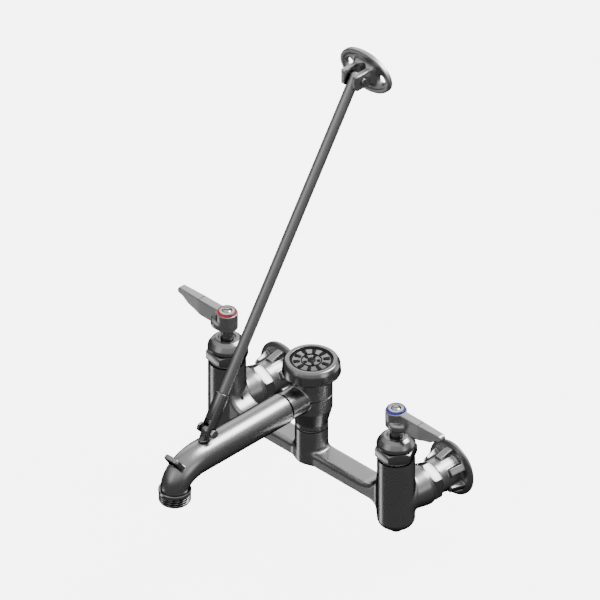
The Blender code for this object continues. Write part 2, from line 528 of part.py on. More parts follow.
def supply_stop(prefix, x):
    """The screwdriver stop under the valve: its screw, seal and washer."""
    at = (x, VALVE_Y, 0)
    screw = [(0, STOP_HEAD_LOW), (STOP_HEAD_R - 0.8, STOP_HEAD_LOW), (STOP_HEAD_R, STOP_HEAD_LOW + 0.8),
             (STOP_HEAD_R, STOP_HEAD_HIGH), (STOP_SHANK_R, STOP_HEAD_HIGH), (STOP_SHANK_R, STOP_GROOVE_LOW),
             (STOP_GROOVE_R, STOP_GROOVE_LOW), (STOP_GROOVE_R, STOP_GROOVE_HIGH),
             (STOP_SHANK_R, STOP_GROOVE_HIGH), (STOP_SHANK_R, STOP_SHANK_HIGH),
             (STOP_STEM_R, STOP_SHANK_HIGH), (STOP_STEM_R, STOP_STEM_HIGH), (STOP_PIN_R, STOP_STEM_HIGH),
             (STOP_PIN_R, STOP_WASHER_HIGH - 0.6), (0, STOP_WASHER_HIGH - 0.6)]
    body = turned(screw, at, sides=SMALL_SIDES)
    slot = [(x - 0.8, VALVE_Y - 7), (x + 0.8, VALVE_Y - 7), (x + 0.8, VALVE_Y + 7), (x - 0.8, VALVE_Y + 7)]
    cut(body, extruded(slot, STOP_HEAD_LOW - 1, STOP_HEAD_LOW + 1.5, "XY"))
    finished(body, prefix + "stop_screw", "brass", at)
    seal = [(STOP_GROOVE_R + GAP, STOP_GROOVE_LOW + GAP), (STOP_SHANK_R, STOP_GROOVE_LOW + GAP),
            (STOP_SHANK_R, STOP_GROOVE_HIGH - GAP), (STOP_GROOVE_R + GAP, STOP_GROOVE_HIGH - GAP)]
    finished(turned(seal, at, sides=SMALL_SIDES), prefix + "stop_seal", "black_rubber", at)
    washer = [(STOP_PIN_R + GAP, STOP_WASHER_LOW), (STOP_WASHER_R, STOP_WASHER_LOW),
              (STOP_WASHER_R, STOP_WASHER_HIGH), (STOP_PIN_R + GAP, STOP_WASHER_HIGH)]
    finished(turned(washer, at, sides=SMALL_SIDES), prefix + "stop_washer", "black_rubber", at)


# ---------------------------------------------------------------- vacuum breaker

def vacuum_breaker_body():
    at = (0, VALVE_Y, 0)
    outside = [(0, VB_NIPPLE_LOW), (VB_NIPPLE_R, VB_NIPPLE_LOW), (VB_NIPPLE_R, HUB_SEAM), (VB_NECK_R, HUB_SEAM),
               (VB_NECK_R, VB_NECK_TOP), (VB_R, VB_CONE_TOP), (VB_R, VB_TOP), (0, VB_TOP)]
    stub = [(0, -VALVE_Y), (STUB_R, -VALVE_Y), (STUB_R, -STUB_END_Y), (STUB_SPIGOT_R, -STUB_END_Y),
            (STUB_SPIGOT_R, -STUB_SPIGOT_END_Y), (0, -STUB_SPIGOT_END_Y)]
    body = join(turned(outside, at), turned(stub, (0, 0, SPOUT_Z), (0, -1, 0)))
    cut(body,
        bore(VB_CHAMBER_R, (0, VALVE_Y, VB_CHAMBER_LOW), (0, VALVE_Y, VB_TOP + 1)),
        bore(VB_NIPPLE_BORE_R, (0, VALVE_Y, VB_NIPPLE_LOW - 1), (0, VALVE_Y, VB_CHAMBER_LOW + 1)),
        bore(STUB_BORE_R, (0, VALVE_Y - 5, SPOUT_Z), (0, STUB_SPIGOT_END_Y - 1, SPOUT_Z)))
    finished(body, "vacuum_breaker_body", "satin_chrome", at)


def vacuum_breaker_inside():
    at = (0, VALVE_Y, 0)
    gasket = [(POST_BORE_R + GAP, POST_TOP + GAP), (POST_R - 0.5, POST_TOP + GAP),
              (POST_R - 0.5, HUB_SEAM - GAP), (POST_BORE_R + GAP, HUB_SEAM - GAP)]
    finished(turned(gasket, at), "vb_gasket", "black_rubber", at)
    seat = [(VB_SEAT_HOLE_R, VB_CHAMBER_LOW + GAP), (VENT_R, VB_CHAMBER_LOW + GAP), (VENT_R, VB_SEAT_TOP),
            (VB_SEAT_HOLE_R + 1.6, VB_SEAT_TOP), (VB_SEAT_HOLE_R + 1.0, VB_SEAT_LIP),
            (VB_SEAT_HOLE_R, VB_SEAT_LIP)]
    finished(turned(seat, at, sides=SMALL_SIDES), "vb_seat", "brass", at)
    float_profile = [(0, FLOAT_LOW), (FLOAT_PIN_R, FLOAT_LOW), (FLOAT_PIN_R, FLOAT_DISC_LOW),
                     (FLOAT_DISC_R, FLOAT_DISC_LOW), (FLOAT_DISC_R, FLOAT_DISC_HIGH),
                     (FLOAT_STEM_R, FLOAT_DISC_HIGH), (FLOAT_STEM_R, FLOAT_HEAD_LOW),
                     (FLOAT_HEAD_R, FLOAT_HEAD_LOW), (FLOAT_HEAD_R, FLOAT_TOP), (0, FLOAT_TOP)]
    finished(turned(float_profile, at, sides=SMALL_SIDES), "vb_float", "brass", at)
    washer = [(FLOAT_PIN_R + GAP, VB_SEAT_LIP + GAP), (FLOAT_DISC_R - 0.4, VB_SEAT_LIP + GAP),
              (FLOAT_DISC_R - 0.4, FLOAT_DISC_LOW - GAP), (FLOAT_PIN_R + GAP, FLOAT_DISC_LOW - GAP)]
    finished(turned(washer, at, sides=SMALL_SIDES), "vb_float_washer", "black_rubber", at)
    vent = [(VENT_HOLE_R, VENT_LOW), (VENT_R, VENT_LOW), (VENT_R, VENT_HIGH), (VENT_HOLE_R, VENT_HIGH)]
    spider = [(SPIDER_HOLE_R, SPIDER_LOW), (SPIDER_R, SPIDER_LOW), (SPIDER_R, VENT_HIGH),
              (SPIDER_HOLE_R, VENT_HIGH)]
    half = SPOKE_WIDTH / 2
    body = turned(vent, at)
    hub = turned(spider, at, sides=SMALL_SIDES)
    for i in range(3):
        spoke = extruded([(SPIDER_HOLE_R + 0.7, -half), (VENT_HOLE_R + 1.5, -half), (VENT_HOLE_R + 1.5, half),
                          (SPIDER_HOLE_R + 0.7, half)], SPIDER_LOW + 0.4, VENT_HIGH - 0.4, "XY")
        turn = Matrix.Rotation(math.radians(120 * i), 4, "Z")
        spoke.data.transform(Matrix.Translation((0, VALVE_Y * MM, 0)) @ turn)
        join(hub, spoke)
    finished(join(body, hub), "vb_vent_seat", "brass", at)


def vacuum_breaker_cap():
    at = (0, VALVE_Y, 0)
    cap = [(0, CAP_STUD_LOW), (CAP_STUD_R, CAP_STUD_LOW), (CAP_STUD_R, CAP_CEILING), (CAP_INNER_R, CAP_CEILING),
           (CAP_INNER_R, VB_TOP), (CAP_R, VB_TOP), (CAP_R, VB_TOP + 2)]
    cap += arc((CAP_TOP_R, CAP_TOP - CAP_EDGE_R), CAP_EDGE_R, 0, 90, 3)
    cap += [(CAP_RECESS_R, CAP_TOP), (CAP_RECESS_R, CAP_RECESS_FLOOR), (0, CAP_RECESS_FLOOR)]
    finished(turned(cap, at), "vb_cap", "satin_chrome", at)
    low = CAP_RECESS_FLOOR + GAP
    insert = [(0, low), (CAP_RECESS_R - GAP, low), (CAP_RECESS_R - GAP, low + INSERT_THICK),
              (0, low + INSERT_THICK)]
    finished(turned(insert, at), "vb_cap_insert", "satin_chrome", at)


# ---------------------------------------------------------------- spout and outlet

def bend(start_r, end_r, steps=8):
    """Stations of the spout's bend, a quarter of an ellipse, each ring facing the ellipse's centre."""
    reach = ELBOW_START_Y - OUTLET_Y
    drop = SPOUT_Z - SPOUT_END_Z
    stations = []
    for i in range(steps + 1):
        t = math.radians(90 * i / steps)
        forward, up = reach * math.sin(t), drop * math.cos(t)
        radius = start_r + (end_r - start_r) * i / steps
        stations.append((ELBOW_START_Y - forward, SPOUT_END_Z + up, radius, math.atan2(forward, up)))
    return stations


def pail_hook():
    """A rounded upright tab across the top of the bend, leaning forwards."""
    top = HOOK_HEIGHT - HOOK_CORNER
    side = HOOK_HALF_WIDTH - HOOK_CORNER
    outline = [(-HOOK_HALF_WIDTH, -HOOK_ROOT), (HOOK_HALF_WIDTH, -HOOK_ROOT)]
    outline += arc((side, top), HOOK_CORNER, 0, 90, 4)
    outline += arc((-side, top), HOOK_CORNER, 90, 180, 4)
    tab = extruded(outline, -HOOK_THICK / 2, HOOK_THICK / 2, "XZ", 0.8)
    place = Matrix.Translation((0, HOOK_CROWN[0] * MM, HOOK_CROWN[1] * MM))
    tab.data.transform(place @ Matrix.Rotation(HOOK_LEAN, 4, "X"))
    return tab


def spout():
    outside = [(SPOUT_START_Y, SPOUT_Z, SPOUT_R, 0)] + bend(SPOUT_R, SPOUT_NECK_R)
    inside = bend(SPOUT_BORE_R, SPOUT_NECK_BORE_R)[:-1]
    passage = [(SPOUT_START_Y + 1, SPOUT_Z, SPOUT_BORE_R, 0)] + inside
    passage.append((OUTLET_Y, SPOUT_END_Z - 1, SPOUT_NECK_BORE_R, math.radians(90)))
    body = join(swept(outside), pail_hook())
    cut(body,
        swept(passage),
        bore(SPOUT_SOCKET_R, (0, SPOUT_START_Y + 1, SPOUT_Z), (0, SPOUT_SOCKET_END_Y, SPOUT_Z)),
        bore(OUTLET_SOCKET_R, (0, OUTLET_Y, SPOUT_END_Z - 1), (0, OUTLET_Y, OUTLET_SOCKET_TOP)),
        bore(EYE_BASE_R + GAP, (0, EYE_BASE_Y, EYE_HOLE_FOOT), (0, EYE_BASE_Y, EYE_LOW + 5), SMALL_SIDES))
    finished(body, "spout", "satin_chrome")
    outlet = [(OUTLET_BORE_R, OUTLET_LOW), (THREAD_R - 1.0, OUTLET_LOW), (THREAD_R, OUTLET_LOW + 1.0),
              (THREAD_R, THREAD_TOP), (THREAD_ROOT_R, THREAD_TOP + 0.4), (THREAD_ROOT_R, LIP_LOW - 0.2),
              (LIP_R, LIP_LOW), (LIP_R, LIP_HIGH - 0.4), (LIP_R - 0.4, LIP_HIGH), (OUTLET_SPIGOT_R, LIP_HIGH),
              (OUTLET_SPIGOT_R, OUTLET_SOCKET_TOP - 0.4), (OUTLET_BORE_R, OUTLET_SOCKET_TOP - 0.4)]
    at = (0, OUTLET_Y, 0)
    finished(turned(outlet, at), "outlet_adapter", "satin_chrome", at)


# ---------------------------------------------------------------- wall brace

def brace_direction():
    return Vector((0.0, UPPER_PIN[0] - LOWER_PIN[0], UPPER_PIN[1] - LOWER_PIN[1]))


def brace_eye():
    y, z = LOWER_PIN
    outline = arc((y, z), EYE_R, -70, 170, 9)
    foot_z = EYE_COLLAR_TOP - 1
    outline += [(EYE_BASE_Y - EYE_BASE_R, foot_z), (EYE_BASE_Y + EYE_BASE_R + 1, foot_z)]
    body = extruded(outline, -EYE_HALF_THICK, EYE_HALF_THICK, "YZ")
    join(body,
         rod(EYE_COLLAR_R, (0, EYE_BASE_Y, EYE_LOW), (0, EYE_BASE_Y, EYE_COLLAR_TOP), SMALL_SIDES),
         rod(EYE_BASE_R, (0, EYE_BASE_Y, EYE_HOLE_FOOT + GAP), (0, EYE_BASE_Y, EYE_LOW + 1), SMALL_SIDES))
    cut(body, bore(BOLT_HOLE_R, (-9, y, z), (9, y, z)))
    finished(body, "brace_eye", "satin_chrome")


def brace_arm():
    """The fork, the rod in its socket and the clamping bolt with its nut."""
    pin = Vector((0, *LOWER_PIN))
    span = brace_direction()
    along = span.normalized()
    fork = [(0, -FORK_R)] + arc((0, 0), FORK_R, -75, 0, 5)
    fork += [(FORK_R, FORK_LENGTH - 0.8), (FORK_R - 0.8, FORK_LENGTH), (0, FORK_LENGTH)]
    body = turned(fork, pin, along)
    slot = extruded([(-FORK_R - 2, -FORK_R - 2), (FORK_R + 2, -FORK_R - 2), (FORK_R + 2, FORK_SLOT_TOP),
                     (-FORK_R - 2, FORK_SLOT_TOP)], -FORK_SLOT_HALF, FORK_SLOT_HALF, "YZ")
    lean = Vector((0, 0, 1)).rotation_difference(along).to_matrix().to_4x4()
    slot.data.transform(Matrix.Translation(pin * MM) @ lean)
    cut(body, slot,
        bore(ROD_BORE_R, pin + along * FORK_BORE_LOW, pin + along * (FORK_LENGTH + 1)),
        bore(BOLT_HOLE_R, pin - Vector((9, 0, 0)), pin + Vector((9, 0, 0)), SMALL_SIDES))
    finished(body, "brace_fork", "satin_chrome", pin)

    rod_end = span.length
    profile = [(0, ROD_START), (ROD_R - 0.6, ROD_START), (ROD_R, ROD_START + 0.6), (ROD_R, rod_end)]
    profile += [(r, rod_end + h) for r, h in arc((0, 0), ROD_R, 15, 75, 3)]
    profile += [(0, rod_end + ROD_OVERRUN)]
    bar = turned(profile, pin, along, SMALL_SIDES)
    top = Vector((0, *UPPER_PIN))
    cut(bar, bore(PIN_HOLE_R, top - Vector((9, 0, 0)), top + Vector((9, 0, 0)), SMALL_SIDES))
    finished(bar, "brace_rod", "satin_chrome", pin)

    bolt = [(0, BOLT_TAIL), (BOLT_R, BOLT_TAIL), (BOLT_R, BOLT_FACE), (BOLT_HEAD_R, BOLT_FACE),
            (BOLT_HEAD_R, BOLT_HEAD_END - 0.6), (BOLT_HEAD_R - 0.8, BOLT_HEAD_END), (0, BOLT_HEAD_END)]
    finished(turned(bolt, pin, (1, 0, 0), SMALL_SIDES), "brace_bolt", "bright_chrome", pin)
    nut_face = pin - Vector((BOLT_FACE, 0, 0))
    nut = rod(SMALL_NUT_R, nut_face - Vector((NUT_THICK, 0, 0)), nut_face, 6)
    cut(nut, bore(BOLT_HOLE_R, pin - Vector((12, 0, 0)), pin - Vector((2, 0, 0)), SMALL_SIDES))
    finished(nut, "brace_nut", "bright_chrome", pin)


def wall_bracket():
    pin = Vector((0, *UPPER_PIN))
    z = UPPER_PIN[1]
    oval = [(BRACKET_HALF_X * math.cos(t), z + BRACKET_HALF_Z * math.sin(t))
            for t in (2 * math.pi * i / SIDES for i in range(SIDES))]
    body = extruded(oval, -BRACKET_THICK, 0, "XZ")
    root_y = -BRACKET_THICK + 1
    corner_y = EAR_FRONT_Y + EAR_CORNER
    corner_z = EAR_HALF_HEIGHT - EAR_CORNER
    ear = [(root_y, z + EAR_HALF_HEIGHT)] + arc((corner_y, z + corner_z), EAR_CORNER, 90, 180, 4)
    ear += arc((corner_y, z - corner_z), EAR_CORNER, 180, 270, 4) + [(root_y, z - EAR_HALF_HEIGHT)]
    for low, high in ((-EAR_OUTER, -EAR_INNER), (EAR_INNER, EAR_OUTER)):
        join(body, extruded(ear, low, high, "YZ"))
    cuts = [bore(PIN_HOLE_R, pin - Vector((14, 0, 0)), pin + Vector((14, 0, 0)), SMALL_SIDES)]
    for side in (-1, 1):
        sink = [(0, -1), (WALL_HOLE_R, -1), (WALL_HOLE_R, WALL_SINK_DEPTH),
                (WALL_SINK_R + 1, BRACKET_THICK + 1), (0, BRACKET_THICK + 1)]
        cuts.append(turned(sink, (side * SCREW_OFFSET, 0, z), (0, -1, 0), SMALL_SIDES))
    cut(body, *cuts)
    finished(body, "wall_bracket", "satin_chrome", pin)
    rivet = [(0, -PIN_HEAD_END), (PIN_HEAD_R - 0.6, -PIN_HEAD_END), (PIN_HEAD_R, -PIN_HEAD_END + 0.5),
             (PIN_HEAD_R, -PIN_FACE), (PIN_R, -PIN_FACE), (PIN_R, PIN_FACE), (PIN_HEAD_R, PIN_FACE),
             (PIN_HEAD_R, PIN_HEAD_END - 0.5), (PIN_HEAD_R - 0.6, PIN_HEAD_END), (0, PIN_HEAD_END)]
    finished(turned(rivet, pin, (1, 0, 0), SMALL_SIDES), "bracket_pin", "bright_chrome", pin)


def build():
    for old in list(bpy.data.objects):
        bpy.data.objects.remove(old)
    main_body()
    sides = (("hot_", -CENTRES / 2, "red_plastic"), ("cold_", CENTRES / 2, "blue_plastic"))
    for prefix, x, index_finish in sides:
        inlet_coupling(prefix, x)
        bonnet(prefix, x)
        valve_seals(prefix, x)
        valve_disc(prefix, x)
        stem(prefix, x)
        lever(prefix, x)
        lever_trim(prefix, x, index_finish)
        supply_stop(prefix, x)
    vacuum_breaker_body()
    vacuum_breaker_inside()
    vacuum_breaker_cap()
    spout()
    brace_eye()
    brace_arm()
    wall_bracket()


build()
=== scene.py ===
"""Looks of the service sink faucet: cast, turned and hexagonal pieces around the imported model.

Sizes in this file are in millimetres and become metres when a piece is made.  Cast pieces are the
zero surface of a distance field, which gives them true fillets; turned pieces are lathe profiles.
"""
import json
import math

import bmesh
import bpy
import numpy as np
from mathutils import Matrix, Vector


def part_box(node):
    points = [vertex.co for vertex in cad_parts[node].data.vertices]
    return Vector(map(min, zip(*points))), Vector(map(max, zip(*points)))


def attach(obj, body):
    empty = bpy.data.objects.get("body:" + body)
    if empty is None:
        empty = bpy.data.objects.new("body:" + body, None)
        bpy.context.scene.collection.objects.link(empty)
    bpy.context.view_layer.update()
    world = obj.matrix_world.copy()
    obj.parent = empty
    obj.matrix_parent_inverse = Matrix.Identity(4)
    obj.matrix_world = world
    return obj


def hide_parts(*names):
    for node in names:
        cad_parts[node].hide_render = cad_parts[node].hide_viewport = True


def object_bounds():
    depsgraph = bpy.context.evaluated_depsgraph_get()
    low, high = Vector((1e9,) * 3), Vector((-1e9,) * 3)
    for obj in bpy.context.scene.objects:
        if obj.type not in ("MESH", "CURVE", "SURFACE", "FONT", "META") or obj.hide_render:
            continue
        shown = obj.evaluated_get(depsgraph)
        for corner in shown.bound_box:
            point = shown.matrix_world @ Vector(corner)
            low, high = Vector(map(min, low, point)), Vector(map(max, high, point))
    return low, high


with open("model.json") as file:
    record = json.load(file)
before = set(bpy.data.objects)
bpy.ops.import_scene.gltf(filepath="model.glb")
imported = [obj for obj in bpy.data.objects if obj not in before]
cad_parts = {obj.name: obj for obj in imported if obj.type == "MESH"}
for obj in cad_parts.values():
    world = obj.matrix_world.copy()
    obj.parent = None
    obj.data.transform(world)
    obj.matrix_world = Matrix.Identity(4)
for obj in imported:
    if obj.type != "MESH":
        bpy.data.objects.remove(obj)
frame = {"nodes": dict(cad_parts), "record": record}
CAD_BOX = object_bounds()

MM = 0.001
UP = (0.0, 0.0, 1.0)
TO_WALL = (0.0, 1.0, 0.0)
FROM_WALL = (0.0, -1.0, 0.0)
SIDEWAYS = (1.0, 0.0, 0.0)
TURN_STEPS = 96           # sides of a large turned piece
SMALL_STEPS = 48          # sides of a small one
SIDES = {"hot_": -1.0, "cold_": 1.0}


def low(node):
    """Lowest corner of a CAD node in millimetres."""
    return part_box(node)[0] / MM


def high(node):
    """Highest corner of a CAD node in millimetres."""
    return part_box(node)[1] / MM


def middle(node):
    return (low(node) + high(node)) / 2


VALVE_X = middle("cold_bonnet").x
VALVE_Y = middle("cold_bonnet").y
SPOUT_Z = 61.0            # height of the spout's straight run
OUTLET_Y = middle("outlet_adapter").y
LOWER_PIN = middle("brace_nut")
LOWER_PIN.x = 0.0
UPPER_PIN = middle("bracket_pin")
UPPER_PIN.x = 0.0


# ---------------------------------------------------------------- materials

def new_material(name):
    made = bpy.data.materials.new(name)
    made.use_nodes = True
    return made, made.node_tree, made.node_tree.nodes["Principled BSDF"]


def node(tree, kind, **settings):
    made = tree.nodes.new(kind)
    for key, value in settings.items():
        if key in made.inputs:
            made.inputs[key].default_value = value
        else:
            setattr(made, key, value)
    return made


def ramp(tree, source, stops):
    made = tree.nodes.new("ShaderNodeValToRGB")
    elements = made.color_ramp.elements
    while len(elements) < len(stops):
        elements.new(0.5)
    for element, (place, colour) in zip(elements, stops):
        element.position = place
        element.color = (*colour, 1.0)
    tree.links.new(source, made.inputs["Fac"])
    return made.outputs["Color"]


def grey(value):
    return (value, value, value)


def speckle(tree, scale, detail=4.0):
    """Noise in the object's own metres."""
    place = tree.nodes.new("ShaderNodeTexCoord")
    noise = node(tree, "ShaderNodeTexNoise", Scale=scale, Detail=detail)
    tree.links.new(place.outputs["Object"], noise.inputs["Vector"])
    return noise.outputs["Fac"]


def bump(tree, shader, height, strength, distance):
    made = node(tree, "ShaderNodeBump", Strength=strength, Distance=distance)
    tree.links.new(height, made.inputs["Height"])
    tree.links.new(made.outputs["Normal"], shader.inputs["Normal"])


def multiply(tree, colour, factor):
    made = node(tree, "ShaderNodeMix", data_type="RGBA", blend_type="MULTIPLY")
    made.inputs[0].default_value = 1.0
    tree.links.new(colour, made.inputs[6])
    tree.links.new(factor, made.inputs[7])
    return made.outputs[2]


def metal(name, tone, tint, rough, spread, grain, grain_depth):
    """Plated or bare metal: tone varies a little, painted shade darkens crevices and slanting rims, the grain
    is fine.
    """
    made, tree, shader = new_material(name)
    shader.inputs["Metallic"].default_value = 1.0
    shader.inputs["Specular Tint"].default_value = (*EDGE_TINT, 1.0)
    cloud = speckle(tree, 60.0)
    colour = ramp(tree, cloud, [(0.30, [c * tone * 0.93 for c in tint]), (0.70, [c * tone for c in tint])])
    # painted shade: ambient occlusion darkens the base colour in crevices
    hollow = node(tree, "ShaderNodeAmbientOcclusion", Distance=PAINTED_SHADE_REACH, samples=8)
    shade = ramp(tree, hollow.outputs["AO"], [(0.30, grey(0.10)), (0.85, grey(1.0))])
    colour = multiply(tree, colour, shade)
    # painted shade: the base colour darkens where the surface turns away from the view, at rims and silhouettes
    slant = node(tree, "ShaderNodeLayerWeight", Blend=0.5)
    rim = ramp(tree, slant.outputs["Facing"], [(0.62, grey(1.0)), (0.88, grey(0.08))])
    colour = multiply(tree, colour, rim)
    tree.links.new(colour, shader.inputs["Base Color"])
    fine = speckle(tree, grain, 6.0)
    roughness = ramp(tree, fine, [(0.3, grey(rough)), (0.7, grey(rough + spread))])
    tree.links.new(roughness, shader.inputs["Roughness"])
    bump(tree, shader, fine, 0.25, grain_depth)
    return made


def plain(name, dark, light, rough, spread, scale, depth, coat=0.0):
    """Rubber or plastic: two close tones mixed by noise, with a fine relief."""
    made, tree, shader = new_material(name)
    cloud = speckle(tree, scale)
    tree.links.new(ramp(tree, cloud, [(0.35, dark), (0.65, light)]), shader.inputs["Base Color"])
    fine = speckle(tree, scale * 4.0)
    roughness = ramp(tree, fine, [(0.3, grey(rough)), (0.7, grey(rough + spread))])
    tree.links.new(roughness, shader.inputs["Roughness"])
    shader.inputs["Coat Weight"].default_value = coat
    bump(tree, shader, fine, 0.3, depth)
    return made


EDGE_TINT = grey(0.12)
# reach of the painted crevice shade
PAINTED_SHADE_REACH = 0.004     # metres
NEUTRAL = grey(1.0)
MATERIALS = {
    "satin_chrome": metal("satin_chrome_cast", 0.46, NEUTRAL, 0.25, 0.08, 1500.0, 0.000006),
    "turned_chrome": metal("satin_chrome_turned", 0.39, NEUTRAL, 0.20, 0.06, 1800.0, 0.000003),
    "bright_chrome": metal("bright_chrome_plate", 0.70, NEUTRAL, 0.10, 0.05, 1800.0, 0.000002),
    "pale_chrome": metal("pale_chrome_cast", 0.62, NEUTRAL, 0.34, 0.10, 1500.0, 0.000006),
    # painted shade: a near-black copy of the metal that colours the cap plate's pads, rims and centre
    "painted_shade_pads": metal("painted_shade_pad_metal", 0.05, NEUTRAL, 0.45, 0.15, 1500.0, 0.000006),
    "brass": metal("machined_brass", 0.75, (1.0, 0.78, 0.40), 0.28, 0.12, 1500.0, 0.000005),
    "black_rubber": plain("black_rubber_seal", grey(0.012), grey(0.03), 0.55, 0.20, 500.0, 0.00005),
    "red_plastic": plain("red_index", (0.20, 0.003, 0.010), (0.30, 0.005, 0.015), 0.25, 0.10, 300.0, 0.00002,
                         0.4),
    "blue_plastic": plain("blue_index", (0.006, 0.006, 0.18), (0.010, 0.010, 0.26), 0.25, 0.10, 300.0, 0.00002,
                          0.4),
}


# ---------------------------------------------------------------- making pieces

def linked(name, data):
    """A new object of the scene that shows this data."""
    made = bpy.data.objects.new(name, data)
    bpy.context.scene.collection.objects.link(made)
    return made


def to_piece(bm, name):
    """A piece in metres from faces drawn in millimetres."""
    bmesh.ops.recalc_face_normals(bm, faces=bm.faces)
    bmesh.ops.scale(bm, vec=(MM, MM, MM), verts=bm.verts)
    mesh = bpy.data.meshes.new(name)
    bm.to_mesh(mesh)
    bm.free()
    return linked(name, mesh)


def softened(points, closed):
    """The outline with each point that carries a third number, a fillet radius, turned into an arc."""
    out = []
    count = len(points)
    for i, point in enumerate(points):
        here = Vector(point[:2])
        radius = point[2] if len(point) > 2 else 0.0
        if radius == 0.0 or (not closed and i in (0, count - 1)):
            out.append(here)
            continue
        back = (Vector(points[i - 1][:2]) - here).normalized()
        ahead = (Vector(points[(i + 1) % count][:2]) - here).normalized()
        half = back.angle(ahead) / 2
        reach = radius / math.tan(half)
        centre = here + (back + ahead).normalized() * (radius / math.sin(half))
        first = here + back * reach - centre
        last = here + ahead * reach - centre
        sweep = math.atan2(first.x * last.y - first.y * last.x, first.dot(last))
        steps = max(3, math.ceil(abs(math.degrees(sweep)) / 15))
        for k in range(steps + 1):
            out.append(centre + Matrix.Rotation(sweep * k / steps, 2) @ first)
    return out


def axis_turn(axis):
    return Vector(UP).rotation_difference(Vector(axis)).to_matrix().to_4x4()


def band(bm, lower, upper):
    """Faces between two rings of the same number of points."""
    for i in range(len(lower)):
        j = (i + 1) % len(lower)
        bm.faces.new((lower[i], lower[j], upper[j], upper[i]))


def lathe(name, profile, at=(0.0, 0.0, 0.0), axis=UP, steps=TURN_STEPS, phase=0.0):
    """A turned piece; profile points are (radius, height[, fillet])."""
    solid = profile[0][0] == 0
    points = softened(profile, not solid)
    angles = [phase + 2 * math.pi * i / steps for i in range(steps)]
    bm = bmesh.new()
    rings = []
    for point in points:
        if point.x > 1e-9:
            rings.append([bm.verts.new((point.x * math.cos(a), point.x * math.sin(a), point.y))
                          for a in angles])
    pairs = list(zip(rings, rings[1:]))
    if not solid:
        pairs.append((rings[-1], rings[0]))
    for lower, upper in pairs:
        band(bm, lower, upper)
    if solid:
        for ring, height in ((rings[0], points[0].y), (rings[-1], points[-1].y)):
            if abs(ring[0].co.z - height) < 1e-6:
                bm.faces.new(ring)
            else:
                tip = bm.verts.new((0.0, 0.0, height))
                for i in range(steps):
                    bm.faces.new((ring[i], ring[(i + 1) % steps], tip))
    bm.transform(Matrix.Translation(at) @ axis_turn(axis))
    return to_piece(bm, name)


def rod(radius, start, end, steps=SMALL_STEPS):
    """A plain cylinder from start to end."""
    span = Vector(end) - Vector(start)
    return lathe("rod", [(0, 0), (radius, 0), (radius, span.length), (0, span.length)], start, span, steps)


def block(low_corner, high_corner, move=None):
    bm = bmesh.new()
    bmesh.ops.create_cube(bm, size=1.0)
    size = Vector(high_corner) - Vector(low_corner)
    centre = (Vector(low_corner) + Vector(high_corner)) / 2
    bm.transform(Matrix.Translation(centre) @ Matrix.Diagonal((*size, 1.0)))
    if move:
        bm.transform(move)
    return to_piece(bm, "block")


def prism(outline, bottom, top, move):
    """A flat outline drawn up from bottom to top, then placed by move."""
    bm = bmesh.new()
    lower = [bm.verts.new((a, b, bottom)) for a, b in outline]
    upper = [bm.verts.new((a, b, top)) for a, b in outline]
    bm.faces.new(lower)
    bm.faces.new(upper)
    band(bm, lower, upper)
    bm.transform(move)
    return to_piece(bm, "prism")


def applied(piece):
    """Bake the piece's modifiers into its mesh."""
    bpy.context.view_layer.update()
    mesh = bpy.data.meshes.new_from_object(piece.evaluated_get(bpy.context.evaluated_depsgraph_get()))
    piece.modifiers.clear()
    piece.data = mesh
    return piece


def combine(piece, others, operation):
    for other in others:
        modifier = piece.modifiers.new("Boolean", "BOOLEAN")
        modifier.operation = operation
        modifier.solver = "EXACT"
        modifier.object = other
        applied(piece)
        bpy.data.objects.remove(other)
    return piece


def cut(piece, *others):
    return combine(piece, others, "DIFFERENCE")


def join(piece, *others):
    return combine(piece, others, "UNION")


def common(piece, *others):
    return combine(piece, others, "INTERSECT")


def bevel(piece, width, angle):
    """Add a modifier that rounds the edges sharper than angle."""
    modifier = piece.modifiers.new("Bevel", "BEVEL")
    modifier.width = width * MM
    modifier.segments = 2
    modifier.limit_method = "ANGLE"
    modifier.angle_limit = math.radians(angle)
    return modifier


def eased(piece, width):
    """Round the sharp edges by a small bevel."""
    bevel(piece, width, 35.0).miter_outer = "MITER_ARC"
    return applied(piece)


def finish(piece, name, body, slot, nodes=(), look=None, smooth=35.0):
    """Name, shade, colour and attach a piece; look names its material if that isn't the slot's own."""
    piece.name = name
    piece.data.name = name
    piece.data.materials.clear()
    piece.data.materials.append(MATERIALS[look or slot])
    piece.data.shade_smooth()
    piece.data.set_sharp_from_angle(angle=math.radians(smooth))
    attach(piece, body)
    if nodes:
        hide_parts(*nodes)
    return piece


# ---------------------------------------------------------------- distance fields

RELAX_TURNS = 6           # smoothing passes over a cast surface
NUDGE = 0.02              # step for the slope of a field
FAR = 1e9


def meet(a, b, r=0.0):
    """Overlap of two fields, its edge rounded by r."""
    return np.minimum(np.maximum(a, b) + r, 0.0) + np.hypot(np.maximum(a + r, 0.0), np.maximum(b + r, 0.0)) - r


def merge(a, b, r):
    """Union of two fields with a fillet of about r."""
    return np.maximum(np.minimum(a, b) - r, 0.0) - np.hypot(np.minimum(a - r, 0.0), np.minimum(b - r, 0.0)) + r


def between(values, bottom, top):
    return np.abs(values - (bottom + top) / 2) - (top - bottom) / 2


def polygon(a, b, outline):
    """Signed distance to a closed outline in its own plane."""
    distance = np.full(a.shape, FAR)
    inside = np.zeros(a.shape, bool)
    for i, (a1, b1) in enumerate(outline):
        a0, b0 = outline[i - 1]
        da, db = a1 - a0, b1 - b0
        t = np.clip(((a - a0) * da + (b - b0) * db) / (da * da + db * db), 0.0, 1.0)
        distance = np.minimum(distance, np.hypot(a - a0 - t * da, b - b0 - t * db))
        if abs(db) > 1e-9:
            crosses = (b0 > b) != (b1 > b)
            inside ^= crosses & (a < a0 + (b - b0) * da / db)
    return np.where(inside, -distance, distance)


